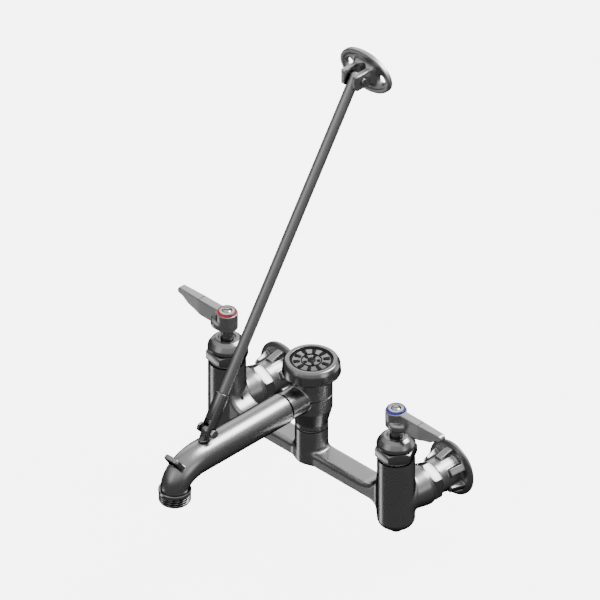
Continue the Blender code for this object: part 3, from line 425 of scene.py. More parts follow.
def cast(name, field, low_corner, high_corner, step):
    """The zero surface of a field as a quad mesh: one point per crossed cell, drawn onto the surface."""
    axes = [np.arange(lo - step, hi + 2 * step, step) for lo, hi in zip(low_corner, high_corner)]
    grid = np.meshgrid(*axes, indexing="ij")
    inside = field(*[g.ravel() for g in grid]).reshape(grid[0].shape) < 0
    corners = np.zeros([n - 1 for n in inside.shape], int)
    for dx in (0, 1):
        for dy in (0, 1):
            for dz in (0, 1):
                nx, ny, nz = corners.shape
                corners += inside[dx:dx + nx, dy:dy + ny, dz:dz + nz]
    cells = np.argwhere((corners > 0) & (corners < 8))
    index = np.full(corners.shape, -1)
    index[tuple(cells.T)] = np.arange(len(cells))
    points = np.stack([axes[k][cells[:, k]] + step / 2 for k in range(3)], axis=1)
    faces = []
    for k in range(3):
        a, b = [m for m in range(3) if m != k]
        first = np.take(inside, range(inside.shape[k] - 1), axis=k)
        second = np.take(inside, range(1, inside.shape[k]), axis=k)
        places = np.argwhere(first != second)
        places = places[(places[:, a] > 0) & (places[:, b] > 0)]
        ring = []
        for da, db in ((1, 1), (0, 1), (0, 0), (1, 0)):
            cell = places.copy()
            cell[:, a] -= da
            cell[:, b] -= db
            ring.append(index[tuple(cell.T)])
        quads = np.stack(ring, axis=1)
        flip = first[tuple(places.T)] == (k == 1)
        quads[flip] = quads[flip][:, ::-1]
        faces.append(quads)
    faces = np.concatenate(faces)
    edges = np.concatenate([faces[:, (i, (i + 1) % 4)] for i in range(4)])
    count = np.bincount(edges.ravel(), minlength=len(points))[:, None]
    for _ in range(RELAX_TURNS):
        total = np.zeros_like(points)
        np.add.at(total, edges[:, 0], points[edges[:, 1]])
        np.add.at(total, edges[:, 1], points[edges[:, 0]])
        points = points * 0.4 + total / count * 0.6
        points = onto(points, field, step)
    mesh = bpy.data.meshes.new(name)
    mesh.from_pydata((onto(points, field, step) * MM).tolist(), [], faces.tolist())
    bm = bmesh.new()
    bm.from_mesh(mesh)
    bmesh.ops.recalc_face_normals(bm, faces=bm.faces)
    bm.to_mesh(mesh)
    bm.free()
    return linked(name, mesh)


def onto(points, field, step):
    """Two Newton steps towards the zero surface."""
    for _ in range(2):
        value = field(*points.T)
        slope = np.stack([(field(*(points + d).T) - value) / NUDGE for d in np.eye(3) * NUDGE], axis=1)
        size = np.maximum(np.sum(slope * slope, axis=1), 0.05)
        move = np.clip(value / size, -step, step)
        points = points - move[:, None] * slope
    return points


def arc(centre, radius, start, end, steps):
    """Points of an arc, its angles in degrees."""
    points = []
    for i in range(steps + 1):
        angle = math.radians(start + (end - start) * i / steps)
        points.append((centre[0] + radius * math.cos(angle), centre[1] + radius * math.sin(angle)))
    return points


# ---------------------------------------------------------------- cross casting

BARREL_R = 16.4
BARREL_TOP = 43.5
BAR_LOW, BAR_HIGH, BAR_HALF, BAR_EDGE = -6.3, 6.9, 11.5, 3.6
BAR_TOP_R, BAR_FOOT_R = 20.0, 11.0
FLARE_END = VALVE_X - math.sqrt(BARREL_R ** 2 - BAR_HALF ** 2)
POST_R, POST_TOP = 14.4, 27.0
BOSS_FACE = -37.5
CHANNEL_R, CHANNEL_Z, CHANNEL_END = 4.4, 0.3, 79.0
RISER_R = 3.2             # slanting way from each valve down to the channel
BARREL_BORES = [(12.6, 14, BARREL_TOP + 2), (6.8, 7, 15), (10.5, -17, 8), (5.3, -25, -16), (6.4, -30, -24)]
SPIGOT_R, SPIGOT_BORE_R = 12.8, 7.5


def flare(x, radius):
    """How far the bar's edge has curved away at x, for a fillet that ends upright at the barrel."""
    t = np.clip(x - (FLARE_END - radius), 0.0, radius)
    return radius - np.sqrt(np.maximum(radius ** 2 - t ** 2, 0.0))


def casting_field(x, y, z):
    x = np.abs(x)
    y0 = y - VALVE_Y
    top = z - (BAR_HIGH + flare(x, BAR_TOP_R))
    foot = (BAR_LOW - flare(x, BAR_FOOT_R)) - z
    bar = meet(meet(np.maximum(top, foot), np.abs(y0) - BAR_HALF, BAR_EDGE), x - VALVE_X, 0.0)
    around = np.hypot(x - VALVE_X, y0)
    cone = (around - BARREL_R) * 0.60 + (-21.8 - z) * 0.80
    barrel = meet(meet(around - BARREL_R, cone, 3.0), between(z, -27.5, BARREL_TOP + 3), 0.6)
    out = np.hypot(x - VALVE_X, z)
    swell = 15.0 + 3.3 * np.clip((y + 60.0) / 19.0, 0.0, 1.0)
    boss = meet(out - swell, between(y, VALVE_Y, BOSS_FACE + 3), 0.4)
    post = meet(np.hypot(x, y0) - POST_R, between(z, BAR_LOW, POST_TOP + 3), 1.5)
    body = merge(bar, barrel, 2.2)
    body = merge(body, boss, 2.5)
    return merge(body, post, 3.0)


def main_casting():
    body = cast("main", casting_field, (-119, -86, -29), (119, -33, 48), 1.0)
    cuts = [block((-12 - POST_R, VALVE_Y - 30, POST_TOP), (12 + POST_R, VALVE_Y + 30, POST_TOP + 20))]
    cuts.append(rod(9.5, (0, VALVE_Y, CHANNEL_Z), (0, VALVE_Y, POST_TOP + 2)))
    cuts.append(rod(CHANNEL_R, (-CHANNEL_END, VALVE_Y, CHANNEL_Z), (CHANNEL_END, VALVE_Y, CHANNEL_Z)))
    for side in SIDES.values():
        x = side * VALVE_X
        cuts.append(block((x - 25, VALVE_Y - 25, BARREL_TOP), (x + 25, VALVE_Y + 25, BARREL_TOP + 20)))
        cuts.append(block((x - 25, BOSS_FACE, -25), (x + 25, BOSS_FACE + 20, 25)))
        for radius, bottom, top in BARREL_BORES:
            cuts.append(rod(radius, (x, VALVE_Y, bottom), (x, VALVE_Y, top)))
        cuts.append(rod(SPIGOT_BORE_R, (x, VALVE_Y, 0), (x, BOSS_FACE + 2, 0)))
        cuts.append(rod(RISER_R, (side * 77, VALVE_Y, CHANNEL_Z), (side * 93, VALVE_Y, 19)))
    cut(body, *cuts)
    spigots = []
    for side in SIDES.values():
        profile = [(SPIGOT_BORE_R, 0), (SPIGOT_R, 0), (SPIGOT_R, 5, 0.5), (SPIGOT_BORE_R, 5)]
        spigots.append(lathe("spigot", profile, (side * VALVE_X, BOSS_FACE - 0.2, 0), TO_WALL))
    join(body, *spigots)
    finish(body, "cross_casting", "frame", "satin_chrome", ["main_body"], smooth=30)


# ---------------------------------------------------------------- inlet couplings

FLANGE_R = 26.0
SOCKET_PITCH, SOCKET_TURNS = 1.814, 8


def flange_field(x, y, z):
    out = np.hypot(x, z)
    rim = (out - FLANGE_R) * 0.45 + (-1.6 - y) * 0.89
    disc = meet(meet(out - FLANGE_R, rim, 1.0), between(y, -3.5, 2.0), 0.3)
    sleeve = meet(out - 15.7, between(y, -26.0, 2.0), 0.5)
    field = merge(disc, sleeve, 2.5)
    reach = 18.3 + 2.7 * np.clip((y + 17.5) / 12.5, 0.0, 1.0)
    for i in range(3):
        turn = math.radians(30 + 60 * i)
        across = x * math.sin(turn) - z * math.cos(turn)
        rib = meet(meet(np.abs(across) - 3.5, out - reach, 0.7), between(y, -17.5, 0.0), 0.7)
        field = merge(field, rib, 1.2)
    return field


def inlet_flanges():
    body = cast("flange", flange_field, (-27, -27, -27), (27, 3, 27), 0.7)
    cut(body, block((-30, 0, -30), (30, 10, 30)))
    tail = [(8.2, -30.7), (11.0, -30.7, 0.4), (11.0, -30.55), (10.2, -30.55), (10.2, -28.3), (11.0, -28.3),
            (11.0, -25.0), (8.2, -25.0)]
    join(body, lathe("tail", tail, axis=TO_WALL))
    socket = [(0, -32), (8.0, -32), (8.0, -16.0), (9.1, -15.6)]
    for i in range(SOCKET_TURNS):
        y = -15.0 + SOCKET_PITCH * i
        socket += [(9.2, y), (9.9, y + SOCKET_PITCH * 0.5)]
    socket += [(9.4, -0.6), (10.2, 0.2), (10.2, 2.0), (0, 2.0)]
    cut(body, lathe("socket", socket, axis=TO_WALL, steps=64))
    for prefix, side in SIDES.items():
        copy = body.copy()
        copy.data = body.data.copy()
        copy.data.transform(Matrix.Translation((side * VALVE_X * MM, 0, 0)))
        bpy.context.scene.collection.objects.link(copy)
        finish(copy, prefix + "flange_casting", "frame", "satin_chrome", [prefix + "inlet_flange"],
               smooth=40)
    bpy.data.objects.remove(body)


def hexagon(name, flats, bottom, top, at, axis, phase, crowned):
    """A hexagonal piece whose corners are turned down by a cone at the ends named in crowned."""
    corner = flats / 2 / math.cos(math.radians(30))
    body = lathe(name, [(0, bottom), (corner, bottom), (corner, top), (0, top)], at, axis, 6, phase)
    slope = math.tan(math.radians(30))
    face = flats / 2 - 0.3
    outside = corner + 2
    drop = (outside - face) * slope
    cone = [(0, bottom)]
    if "low" in crowned:
        cone += [(face, bottom), (outside, bottom + drop)]
    else:
        cone += [(outside, bottom)]
    if "high" in crowned:
        cone += [(outside, top - drop), (face, top)]
    else:
        cone += [(outside, top)]
    cone += [(0, top)]
    return common(body, lathe("cone", cone, at, axis, TURN_STEPS))


def couplings():
    for prefix, side in SIDES.items():
        at = (side * VALVE_X, 0, 0)
        nut = hexagon("nut", 31.9, -37.2, -26.3, at, TO_WALL, math.radians(30), ("low", "high"))
        bore = [(0, -38), (13.1, -38), (13.1, -28.3), (11.4, -28.3), (11.4, -25), (0, -25)]
        cut(nut, lathe("bore", bore, at, TO_WALL))
        eased(nut, 0.35)
        finish(nut, prefix + "union_nut", "frame", "satin_chrome", [prefix + "coupling_nut"],
               "turned_chrome")
        collar = [(13.3, -40.9), (18.35, -40.9, 0.4), (18.35, -39.7, 0.3), (17.7, -39.45), (18.5, -39.2, 0.3),
                  (18.5, -37.6, 0.4), (13.3, -37.6)]
        ring = lathe("collar", collar, at, TO_WALL)
        finish(ring, prefix + "boss_ring", "frame", "satin_chrome", (), "turned_chrome")


# ---------------------------------------------------------------- valves

def bonnets():
    for prefix, side in SIDES.items():
        at = (side * VALVE_X, VALVE_Y, 0)
        base = low(prefix + "bonnet_gasket").z
        body = hexagon("bonnet", 32.04, 46.0, 56.0, at, UP, math.radians(-5), ("low", "high"))
        dome = [(0, 50), (15.4, 50), (15.4, 56.0), (17.0, 57.4, 1.2), (16.6, 60.2, 4.0), (13.6, 64.6, 4.0),
                (10.5, 66.8, 0.6), (8.0, 66.8, 0.3), (7.4, 66.0), (0, 66.0)]
        shank = [(0, 25), (12.2, 25, 0.5), (12.2, 47), (0, 47)]
        join(body, lathe("dome", dome, at), lathe("shank", shank, at))
        inside = [(0, 37), (8.3, 37), (8.3, 55), (5.5, 55), (5.5, 58), (7.2, 58), (7.2, 62), (5.5, 62),
                  (5.5, 70), (0, 70)]
        hollow = [(0, 24), (9.6, 24), (9.6, 38), (0, 38)]
        cut(body, lathe("inside", inside, at, steps=SMALL_STEPS), lathe("hollow", hollow, at, steps=6))
        eased(body, 0.3)
        finish(body, prefix + "bonnet_nut", "frame", "satin_chrome", [prefix + "bonnet"],
               "turned_chrome")
        ring = [(12.7, base), (15.0, base, 0.5), (15.0, base + 1.9, 0.5), (12.7, base + 1.9)]
        finish(lathe("ring", ring, at), prefix + "bonnet_seal", "frame", "black_rubber",
               [prefix + "bonnet_gasket"])


def lever_field(x, y, z):
    hub = meet(np.hypot(x, y) - 9.35, between(z, 77.3, 93.0), 0.7)
    lobe = meet(np.hypot(x - 4.5, y) - 11.0, between(z, 77.3, 84.6), 2.6)
    outline = [(0, 77.3), (22, 77.3)] + arc((25, 100), 22.7, -90, -64, 4)[1:]
    outline += [(44, 82.0), (50.5, 86.2)] + arc((53.1, 89.7), 3.5, -40, 85, 6) + [(0, 93.2)]
    width = 4.15 - 0.9 * np.clip((x - 30.0) / 26.0, 0.0, 1.0)
    arm = meet(polygon(x, z, outline), np.abs(y) - width, 0.7)
    return merge(merge(hub, lobe, 0.8), arm, 1.0)


SQUARE_HOLE, SQUARE_END = 7.6, 7.0
SCREW_HOLE_R = 2.3
INDEX_IN, INDEX_OUT, INDEX_LIP = 4.4, 8.4, 6.7


def levers():
    for prefix, side in SIDES.items():
        at = Vector((side * VALVE_X, VALVE_Y, 0))
        body = cast("lever", lambda x, y, z: lever_field(side * x, y, z), (-58, -12, 76), (58, 12, 94.5), 0.5)
        body.data.transform(Matrix.Translation(at * MM))
        half = SQUARE_HOLE / 2
        crease = at.x + side * 30
        cut(body,
            block((at.x - half, at.y - half, 75), (at.x + half, at.y + half, 88)),
            rod(SCREW_HOLE_R, (at.x, at.y, 86), (at.x, at.y, 95)),
            rod(8.7, (at.x, at.y, 93.0), (at.x, at.y, 96), TURN_STEPS),
            block((crease - 0.35, at.y - 6, 92.7), (crease + 0.35, at.y + 6, 95)))
        handle = prefix + "handle"
        finish(body, prefix + "lever_casting", handle, "satin_chrome", [prefix + "lever"], "pale_chrome", 40)
        ring = [(INDEX_IN, 93.3), (INDEX_OUT, 93.3, 0.2), (INDEX_OUT - 0.1, 94.4, 0.6), (7.6, 95.0, 0.4),
                (INDEX_LIP, 95.0, 0.2), (INDEX_LIP, 94.3), (INDEX_IN, 94.3)]
        slot = "red_plastic" if side < 0 else "blue_plastic"
        finish(lathe("ring", ring, at, steps=64), prefix + "index", handle, slot, [prefix + "index_ring"])
        washer = [(INDEX_IN, 94.3), (INDEX_LIP, 94.3), (INDEX_LIP, 94.7), (INDEX_IN, 94.7, 0.1)]
        finish(lathe("washer", washer, at, steps=64), prefix + "index_washer", handle, "bright_chrome")
        head = [(0, 81), (2.0, 81, 0.3), (2.0, 93.3), (4.0, 93.3, 0.2), (4.0, 94.6, 0.6), (2.6, 95.5, 0.8),
                (0, 95.5)]
        screw = lathe("screw", head, at, steps=SMALL_STEPS)
        for turn in (45, 135):
            place = Matrix.Translation(at) @ Matrix.Rotation(math.radians(turn), 4, "Z")
            cut(screw, block((-2.8, -0.7, 94.3), (2.8, 0.7, 97), place))
        finish(screw, prefix + "lever_screw", handle, "bright_chrome", [prefix + "handle_screw"])
        spindle = [(0, 25.5), (4.0, 25.5, 0.6), (4.0, 40), (8.0, 51, 0.5), (8.0, 54.7, 0.4), (5.2, 54.7),
                   (5.2, 77.0, 0.5), (0, 77.0)]
        stem = lathe("stem", spindle, at, steps=SMALL_STEPS)
        half = SQUARE_END / 2
        join(stem, block((at.x - half, at.y - half, 76), (at.x + half, at.y + half, 87.7)))
        cut(stem, rod(SCREW_HOLE_R, (at.x, at.y, 80), (at.x, at.y, 89)))
        eased(stem, 0.2)
        finish(stem, prefix + "spindle", handle, "brass", [prefix + "stem"], "turned_chrome")


def stops():
    for prefix, side in SIDES.items():
        at = (side * VALVE_X, VALVE_Y, 0)
        profile = [(0, -31), (5.2, -31, 0.6), (6.0, -30.2, 0.4), (6.0, -27.8, 0.3), (5.0, -27.8), (5.0, -23.5),
                   (3.7, -23.5), (3.7, -21.0), (5.0, -21.0), (5.0, -17.0, 0.5), (3.0, -17.0), (3.0, 1.7, 0.3),
                   (1.3, 1.7), (1.3, 3.4, 0.3), (0, 3.4)]
        screw = lathe("stop", profile, at, steps=SMALL_STEPS)
        cut(screw, block((at[0] - 0.8, at[1] - 7, -32), (at[0] + 0.8, at[1] + 7, -29.5)))
        finish(screw, prefix + "stop_plug", prefix + "stop", "brass", [prefix + "stop_screw"],
               "turned_chrome")


# ---------------------------------------------------------------- vacuum breaker

CONE_LOW, CONE_RISE, CONE_SWELL = 33.0, 14.4, 3.7
STUB_R, STUB_END = 12.9, -102.3
BREAKER_LOW, BREAKER_HIGH = 29.0, 82.0


def breaker_field(x, y, z):
    around = np.hypot(x, y - VALVE_Y)
    slant = math.hypot(CONE_RISE, CONE_SWELL)
    reach = POST_R + CONE_SWELL * np.clip((z - CONE_LOW) / CONE_RISE, 0.0, 1.0)
    hub = meet((around - reach) * CONE_RISE / slant, between(z, BREAKER_LOW, BREAKER_HIGH + 3), 0.5)
    out = np.hypot(x, z - SPOUT_Z)
    stub = meet(out - STUB_R, between(y, -105.0, VALVE_Y), 0.3)
    return merge(hub, stub, 1.2)


def vacuum_breaker():
    body = cast("breaker", breaker_field, (-20, -107, 26), (20, -48, 87), 0.75)
    cuts = [block((-30, -100, BREAKER_HIGH), (30, -40, 95)), block((-30, -130, 30), (30, STUB_END, 95)),
            block((-30, -120, 20), (30, -40, BREAKER_LOW)),
            rod(14.0, (0, VALVE_Y, 50), (0, VALVE_Y, 84), TURN_STEPS),
            rod(7.2, (0, VALVE_Y, 20), (0, VALVE_Y, 51)),
            rod(8.0, (0, VALVE_Y - 5, SPOUT_Z), (0, -120, SPOUT_Z))]
    seam = [(17.3, 61.7), (19.5, 60.6), (19.5, 62.8)]
    joint = [(11.4, 101.4), (13.6, 101.0), (13.6, 103.0), (11.4, 103.0)]
    cut(body, *cuts, lathe("seam", seam, (0, VALVE_Y, 0)), lathe("joint", joint, (0, 0, SPOUT_Z), FROM_WALL))
    nipple = [(7.2, 15), (9.2, 15, 0.4), (9.2, 29.2), (7.2, 29.2)]
    spigot = [(8.0, 102.1), (10.1, 102.1), (10.1, 112.0, 0.5), (8.0, 112.0)]
    join(body, lathe("nipple", nipple, (0, VALVE_Y, 0)), lathe("spigot", spigot, (0, 0, SPOUT_Z), FROM_WALL))
    finish(body, "breaker_casting", "frame", "satin_chrome", ["vacuum_breaker_body"], smooth=30)
    seal = [(9.8, 27.3), (13.9, 27.3, 0.4), (13.9, 28.7, 0.4), (9.8, 28.7)]
    finish(lathe("seal", seal, (0, VALVE_Y, 0)), "breaker_seal", "frame", "black_rubber", ["vb_gasket"])

    at = (0, VALVE_Y, 0)
    profile = [(0, 79), (3.6, 79, 0.4), (3.6, 91.2), (21.2, 91.2, 2.0), (21.2, 82.0), (24.6, 82.0, 0.5),
               (25.4, 83.2, 0.8), (24.7, 91.0, 2.0), (22.6, 95.0, 2.4), (18.7, 95.0, 0.4), (18.7, 93.0),
               (0, 93.0)]
    finish(lathe("cap", profile, at, steps=128), "breaker_cap", "frame", "satin_chrome", ["vb_cap"],
           "turned_chrome")


def cap_plate():
    """The disc set into the cap: raised pads around a domed centre, coloured near-black as painted shade."""
    at = (0, VALVE_Y, 0)
    ground = [(0, 93.3), (18.4, 93.3, 0.2), (18.4, 93.8, 0.2), (0, 93.8)]
    finish(lathe("ground", ground, at), "cap_plate_ground", "frame", "satin_chrome", ["vb_cap_insert"],
           "turned_chrome")
    plate = lathe("centre", [(0, 93.7), (3.6, 93.7), (3.6, 94.3, 0.3), (2.2, 94.7, 0.5), (0, 94.7)], at)
    parts = [plate]
    for inner, outer in ((16.7, 18.0), (8.3, 9.1)):
        parts.append(lathe("rim", [(inner, 93.7), (outer, 93.7), (outer, 94.4, 0.15), (inner, 94.4, 0.15)], at))
    for count, inner, outer, half in ((10, 10.2, 15.7, 1.55), (5, 4.6, 7.3, 1.2)):
        for i in range(count):
            place = Matrix.Translation(at) @ Matrix.Rotation(2 * math.pi * (i + 0.5) / count, 4, "Z")
            narrow, wide = half * 0.8, half * 1.15
            outline = [(inner, -narrow), (outer, -wide), (outer, wide), (inner, narrow)]
            parts.append(eased(prism(outline, 93.7, 94.45, place), 0.18))
    with bpy.context.temp_override(active_object=plate, selected_editable_objects=parts):
        bpy.ops.object.join()
    # the pads, rims and centre take the near-black painted-shade material
    finish(plate, "cap_plate_pads", "frame", "satin_chrome", (), "painted_shade_pads")


# ---------------------------------------------------------------- spout and outlet

SPOUT_START = -95.0
SPOUT_R, SPOUT_TIP_R = 13.9, 12.15
SPOUT_BORE_R, TIP_BORE_R = 9.4, 7.6
BEND_Y, BEND_Z = -202, 43     # centre of the bend
BEND_STEPS = 24
HOOK_LEAN = math.radians(33.7)
HOOK_CROWN = (-230.5, 66.1)


def spout_path():
    """Points (y, z, outer radius) along the spout's middle line."""
    path = [(SPOUT_START, SPOUT_Z, SPOUT_R)]
    for i, t in enumerate(np.radians(np.linspace(0, 90, BEND_STEPS + 1))):
        radius = SPOUT_R - (SPOUT_R - SPOUT_TIP_R) * i / BEND_STEPS
        path.append((BEND_Y - 30 * math.sin(t), BEND_Z + 18 * math.cos(t), radius))
    return path + [(OUTLET_Y, 36.0, SPOUT_TIP_R)]


def spout_field(x, y, z):
    field = np.full(x.shape, FAR)
    path = spout_path()
    for (y0, z0, r0), (y1, z1, r1) in zip(path, path[1:]):
        dy, dz = y1 - y0, z1 - z0
        t = np.clip(((y - y0) * dy + (z - z0) * dz) / (dy * dy + dz * dz), 0.0, 1.0)
        away = np.sqrt(x * x + (y - y0 - t * dy) ** 2 + (z - z0 - t * dz) ** 2)
        field = np.minimum(field, away - (r0 + t * (r1 - r0)))
    up = -math.sin(HOOK_LEAN) * (y - HOOK_CROWN[0]) + math.cos(HOOK_LEAN) * (z - HOOK_CROWN[1])
    along = math.cos(HOOK_LEAN) * (y - HOOK_CROWN[0]) + math.sin(HOOK_LEAN) * (z - HOOK_CROWN[1])
    outline = [(-8, -4), (8, -4)] + arc((4, 8), 4, 0, 90, 6) + arc((-4, 8), 4, 90, 180, 6)
    tab = meet(polygon(x, up, outline), np.abs(along) - 2.25, 1.0)
    return merge(field, tab, 1.2)


def spout():
    body = cast("spout", spout_field, (-15, -247, 22), (15, -79, 79), 0.85)
    cuts = [block((-20, -102.6, 30), (20, -80, 90)), block((-20, -260, 20), (20, -210, BEND_Z)),
            rod(10.4, (0, -101, SPOUT_Z), (0, -112.4, SPOUT_Z)),
            rod(9.5, (0, -112, SPOUT_Z), (0, BEND_Y - 1, SPOUT_Z)),
            rod(8.8, (0, OUTLET_Y, 40), (0, OUTLET_Y, 48)), rod(3.3, (0, -198, 71.8), (0, -198, 85))]
    chamfer = [(12.2, -0.1), (14.5, -0.1), (14.5, 1.2), (13.7, 1.0)]
    cut(body, *cuts, passage(), lathe("chamfer", chamfer, (0, -102.6, SPOUT_Z), FROM_WALL))
    finish(body, "spout_casting", "frame", "satin_chrome", ["spout"], smooth=32)


def passage():
    """The bore round the bend."""
    bm = bmesh.new()
    rings = []
    for i, (y, z, _) in enumerate(spout_path()[1:-1]):
        lean = math.atan2(BEND_Y - y, z - BEND_Z)
        up = Vector((0, -math.sin(lean), math.cos(lean)))
        size = SPOUT_BORE_R - (SPOUT_BORE_R - TIP_BORE_R) * i / BEND_STEPS
        centre = Vector((0, y, z))
        ring = []
        for k in range(SMALL_STEPS):
            angle = 2 * math.pi * k / SMALL_STEPS
            outward = math.cos(angle) * Vector(SIDEWAYS) + math.sin(angle) * up
            ring.append(bm.verts.new(centre + size * outward))
        rings.append(ring)
    for lower, upper in zip(rings, rings[1:]):
        band(bm, lower, upper)
    bm.faces.new(rings[0])
    bm.faces.new(rings[-1])
    return to_piece(bm, "passage")


CREST_FLAT = 1.35         # how far the thread's crests are flattened


def hose_outlet():
    """The outlet with its helical hose thread, lip and bore."""
    turns_per_mm = 11.5 / 25.4
    bottom, top = 30.0, 38.9
    crest, depth = 14.0, 1.25
    lip = 0.3
    rows, steps = 54, TURN_STEPS
    bm = bmesh.new()
    rings = []

    def ring(radius, height):
        rings.append([bm.verts.new((radius * math.cos(a), radius * math.sin(a), height))
                      for a in (2 * math.pi * i / steps for i in range(steps))])

    for radius, height in ((7.0, 47.6), (7.0, 30.6), (7.6, bottom), (12.3, bottom)):
        ring(radius, height)
    for row in range(rows + 1):
        z = bottom + lip + (top - bottom - lip) * row / rows
        fade = min(1.0, (z - bottom) / 1.6) * min(1.0, (top - z) / 0.8 + 0.1)
        line = []
        for i in range(steps):
            turn = i / steps
            wave = 0.5 + 0.5 * math.cos(2 * math.pi * (z * turns_per_mm - turn))
            wave = min(1.0, wave * CREST_FLAT)
            radius = crest - depth + depth * wave * fade
            radius = min(radius, 12.4 + (z - bottom) * 1.6)
            angle = 2 * math.pi * turn
            line.append(bm.verts.new((radius * math.cos(angle), radius * math.sin(angle), z)))
        rings.append(line)
    for radius, height in ((12.7, 39.0), (12.7, 39.6), (13.9, 39.9), (14.3, 40.3), (14.3, 42.2), (13.9, 42.7),
                           (8.5, 42.7), (8.5, 47.6)):
        ring(radius, height)
    for lower, upper in zip(rings, rings[1:] + rings[:1]):
        band(bm, lower, upper)
    bm.transform(Matrix.Translation((0, OUTLET_Y, 0)))
    finish(to_piece(bm, "outlet"), "hose_outlet", "frame", "satin_chrome", ["outlet_adapter"],
           "turned_chrome")


# ---------------------------------------------------------------- wall brace

EYE_R = 5.2
FORK_R = 6.3
BAR_R = 4.8
BOLT_R, BOLT_HOLE_R = 2.5, 2.8


def brace():
    pin = LOWER_PIN
    top = UPPER_PIN
    span = top - pin
    along = span.normalized()
    lean = Matrix.Translation(pin) @ axis_turn(along)
    across = Vector(SIDEWAYS)

    y, z = pin.y, pin.z
    eye_outline = arc((y, z), EYE_R, -70, 170, 20) + [(-201.0, 76.0), (-194.0, 76.0)]
    upright = Matrix(((0, 0, 1, 0), (1, 0, 0, 0), (0, 1, 0, 0), (0, 0, 0, 1)))
    eye = prism(eye_outline, -2.8, 2.8, upright)
    collar = [(0, 72.1), (3.0, 72.1, 0.3), (3.0, 75.2), (4.2, 75.2, 0.3), (4.2, 77.0, 0.6), (0, 77.0)]
    join(eye, lathe("collar", collar, (0, -198, 0), steps=SMALL_STEPS))
    cut(eye, rod(BOLT_HOLE_R, pin - across * 9, pin + across * 9))
    eased(eye, 0.4)
    finish(eye, "eye_bolt", "frame", "satin_chrome", ["brace_eye"], "turned_chrome")

    profile = [(0, -FORK_R)] + arc((0, 0), FORK_R, -80, 0, 10) + [(FORK_R, 35.0, 0.8), (0, 35.0)]
    fork = lathe("fork", profile, pin, along, 64)
    cut(fork,
        block((-3.1, -9, -9), (3.1, 9, 10), lean),
        rod(5.1, pin + along * 14, pin + along * 36),
        rod(BOLT_HOLE_R, pin - across * 9, pin + across * 9))
    eased(fork, 0.3)
    finish(fork, "fork_sleeve", "brace", "satin_chrome", ["brace_fork"], "turned_chrome")

    end = span.length
    profile = [(0, 14.3), (BAR_R, 14.3, 0.6), (BAR_R, end)] + arc((0, end), BAR_R, 10, 80, 7)
    profile += [(0, end + BAR_R)]
    bar = lathe("bar", profile, pin, along, 64)
    cut(bar, rod(PIN_HOLE_R, top - across * 9, top + across * 9))
    finish(bar, "brace_tube", "brace", "satin_chrome", ["brace_rod"], "pale_chrome")

    shank = [(0, -10.2), (BOLT_R, -10.2, 0.5), (BOLT_R, 7.0), (0, 7.0)]
    bolt = lathe("bolt", shank, pin, across, SMALL_STEPS)
    head = hexagon("head", 7.6, 6.6, 9.3, pin, across, 0.3, ("high",))
    eased(head, 0.15)
    join(bolt, head)
    finish(bolt, "fork_bolt", "brace", "bright_chrome", ["brace_bolt"])
    nut = hexagon("nut", 8.1, -9.4, -6.6, pin, across, 0.7, ("low",))
    cut(nut, rod(BOLT_HOLE_R, pin - across * 12, pin))
    eased(nut, 0.15)
    finish(nut, "fork_nut", "brace", "bright_chrome", ["brace_nut"])


OVAL_X, OVAL_Z = 29.6, 18.4
EAR_GAP = 10.2
PIN_HOLE_R = 2.5
SCREW_X = 19


def bracket_field(x, y, z):
    z0 = z - UPPER_PIN.z
    scale = np.sqrt((x / OVAL_X) ** 2 + (z0 / OVAL_Z) ** 2)
    slope = np.sqrt((x / OVAL_X ** 2) ** 2 + (z0 / OVAL_Z ** 2) ** 2) / np.maximum(scale, 1e-6)
    oval = (scale - 1.0) / np.maximum(slope, 1e-3)
    plate = meet(oval, between(y, -3.4, 3.0), 0.8)
    rim = meet(np.abs(oval + 2.2) - 2.0, between(y, -4.0, 3.0), 0.9)
    plate = merge(plate, rim, 0.8)
    ears = meet(meet(np.abs(x) - 10.0, np.abs(z0) - 7.5, 1.2), between(y, -23.5, 3.0), 2.6)
    return merge(plate, ears, 4.5)


def bracket():
    body = cast("bracket", bracket_field, (-31, -25, 343), (31, 4, 382), 0.55)
    z = UPPER_PIN.z
    across = Vector(SIDEWAYS)
    cuts = [block((-40, 0, 330), (40, 10, 395)), ear_gap(z),
            rod(PIN_HOLE_R, UPPER_PIN - across * 16, UPPER_PIN + across * 16)]
    for side in SIDES.values():
        sink = [(0, -1), (3.5, -1), (3.5, 1.6), (5.3, 3.4), (6.4, 4.6), (0, 4.6)]
        cuts.append(lathe("sink", sink, (side * SCREW_X, 0, z), FROM_WALL, SMALL_STEPS))
    cut(body, *cuts)
    finish(body, "bracket_casting", "bracket", "satin_chrome", ["wall_bracket"], "pale_chrome", 32)
    profile = [(0, -11.6), (2.8, -11.6, 0.5), (3.4, -10.9, 0.4), (3.4, -10.3), (2.2, -10.3), (2.2, 10.3),
               (3.4, 10.3), (3.4, 10.9, 0.4), (2.8, 11.6, 0.5), (0, 11.6)]
    finish(lathe("pin", profile, UPPER_PIN, SIDEWAYS, SMALL_STEPS), "bracket_rivet", "bracket", "bright_chrome",
           ["bracket_pin"])


def ear_gap(z):
    """The space between the ears, round-ended towards the wall plate."""
    half = EAR_GAP / 2
    outline = [(-half, -30), (half, -30)] + arc((0, -9.4), half, 0, 180, 16)
    return prism(outline, z - 20, z + 20, Matrix.Identity(4))


# ---------------------------------------------------------------- inner pieces

def inner_pieces():
    """Pieces inside the casings keep their CAD shape, with eased edges and a finished material."""
    slots = {row["node"]: row["material_slot"] for row in frame["record"]["subparts"]}
    for name, piece in frame["nodes"].items():
        if piece.hide_render:
            continue
        piece.data.materials.clear()
        piece.data.materials.append(MATERIALS[slots[name]])
        bevel(piece, 0.12, 40.0)


# ---------------------------------------------------------------- stage

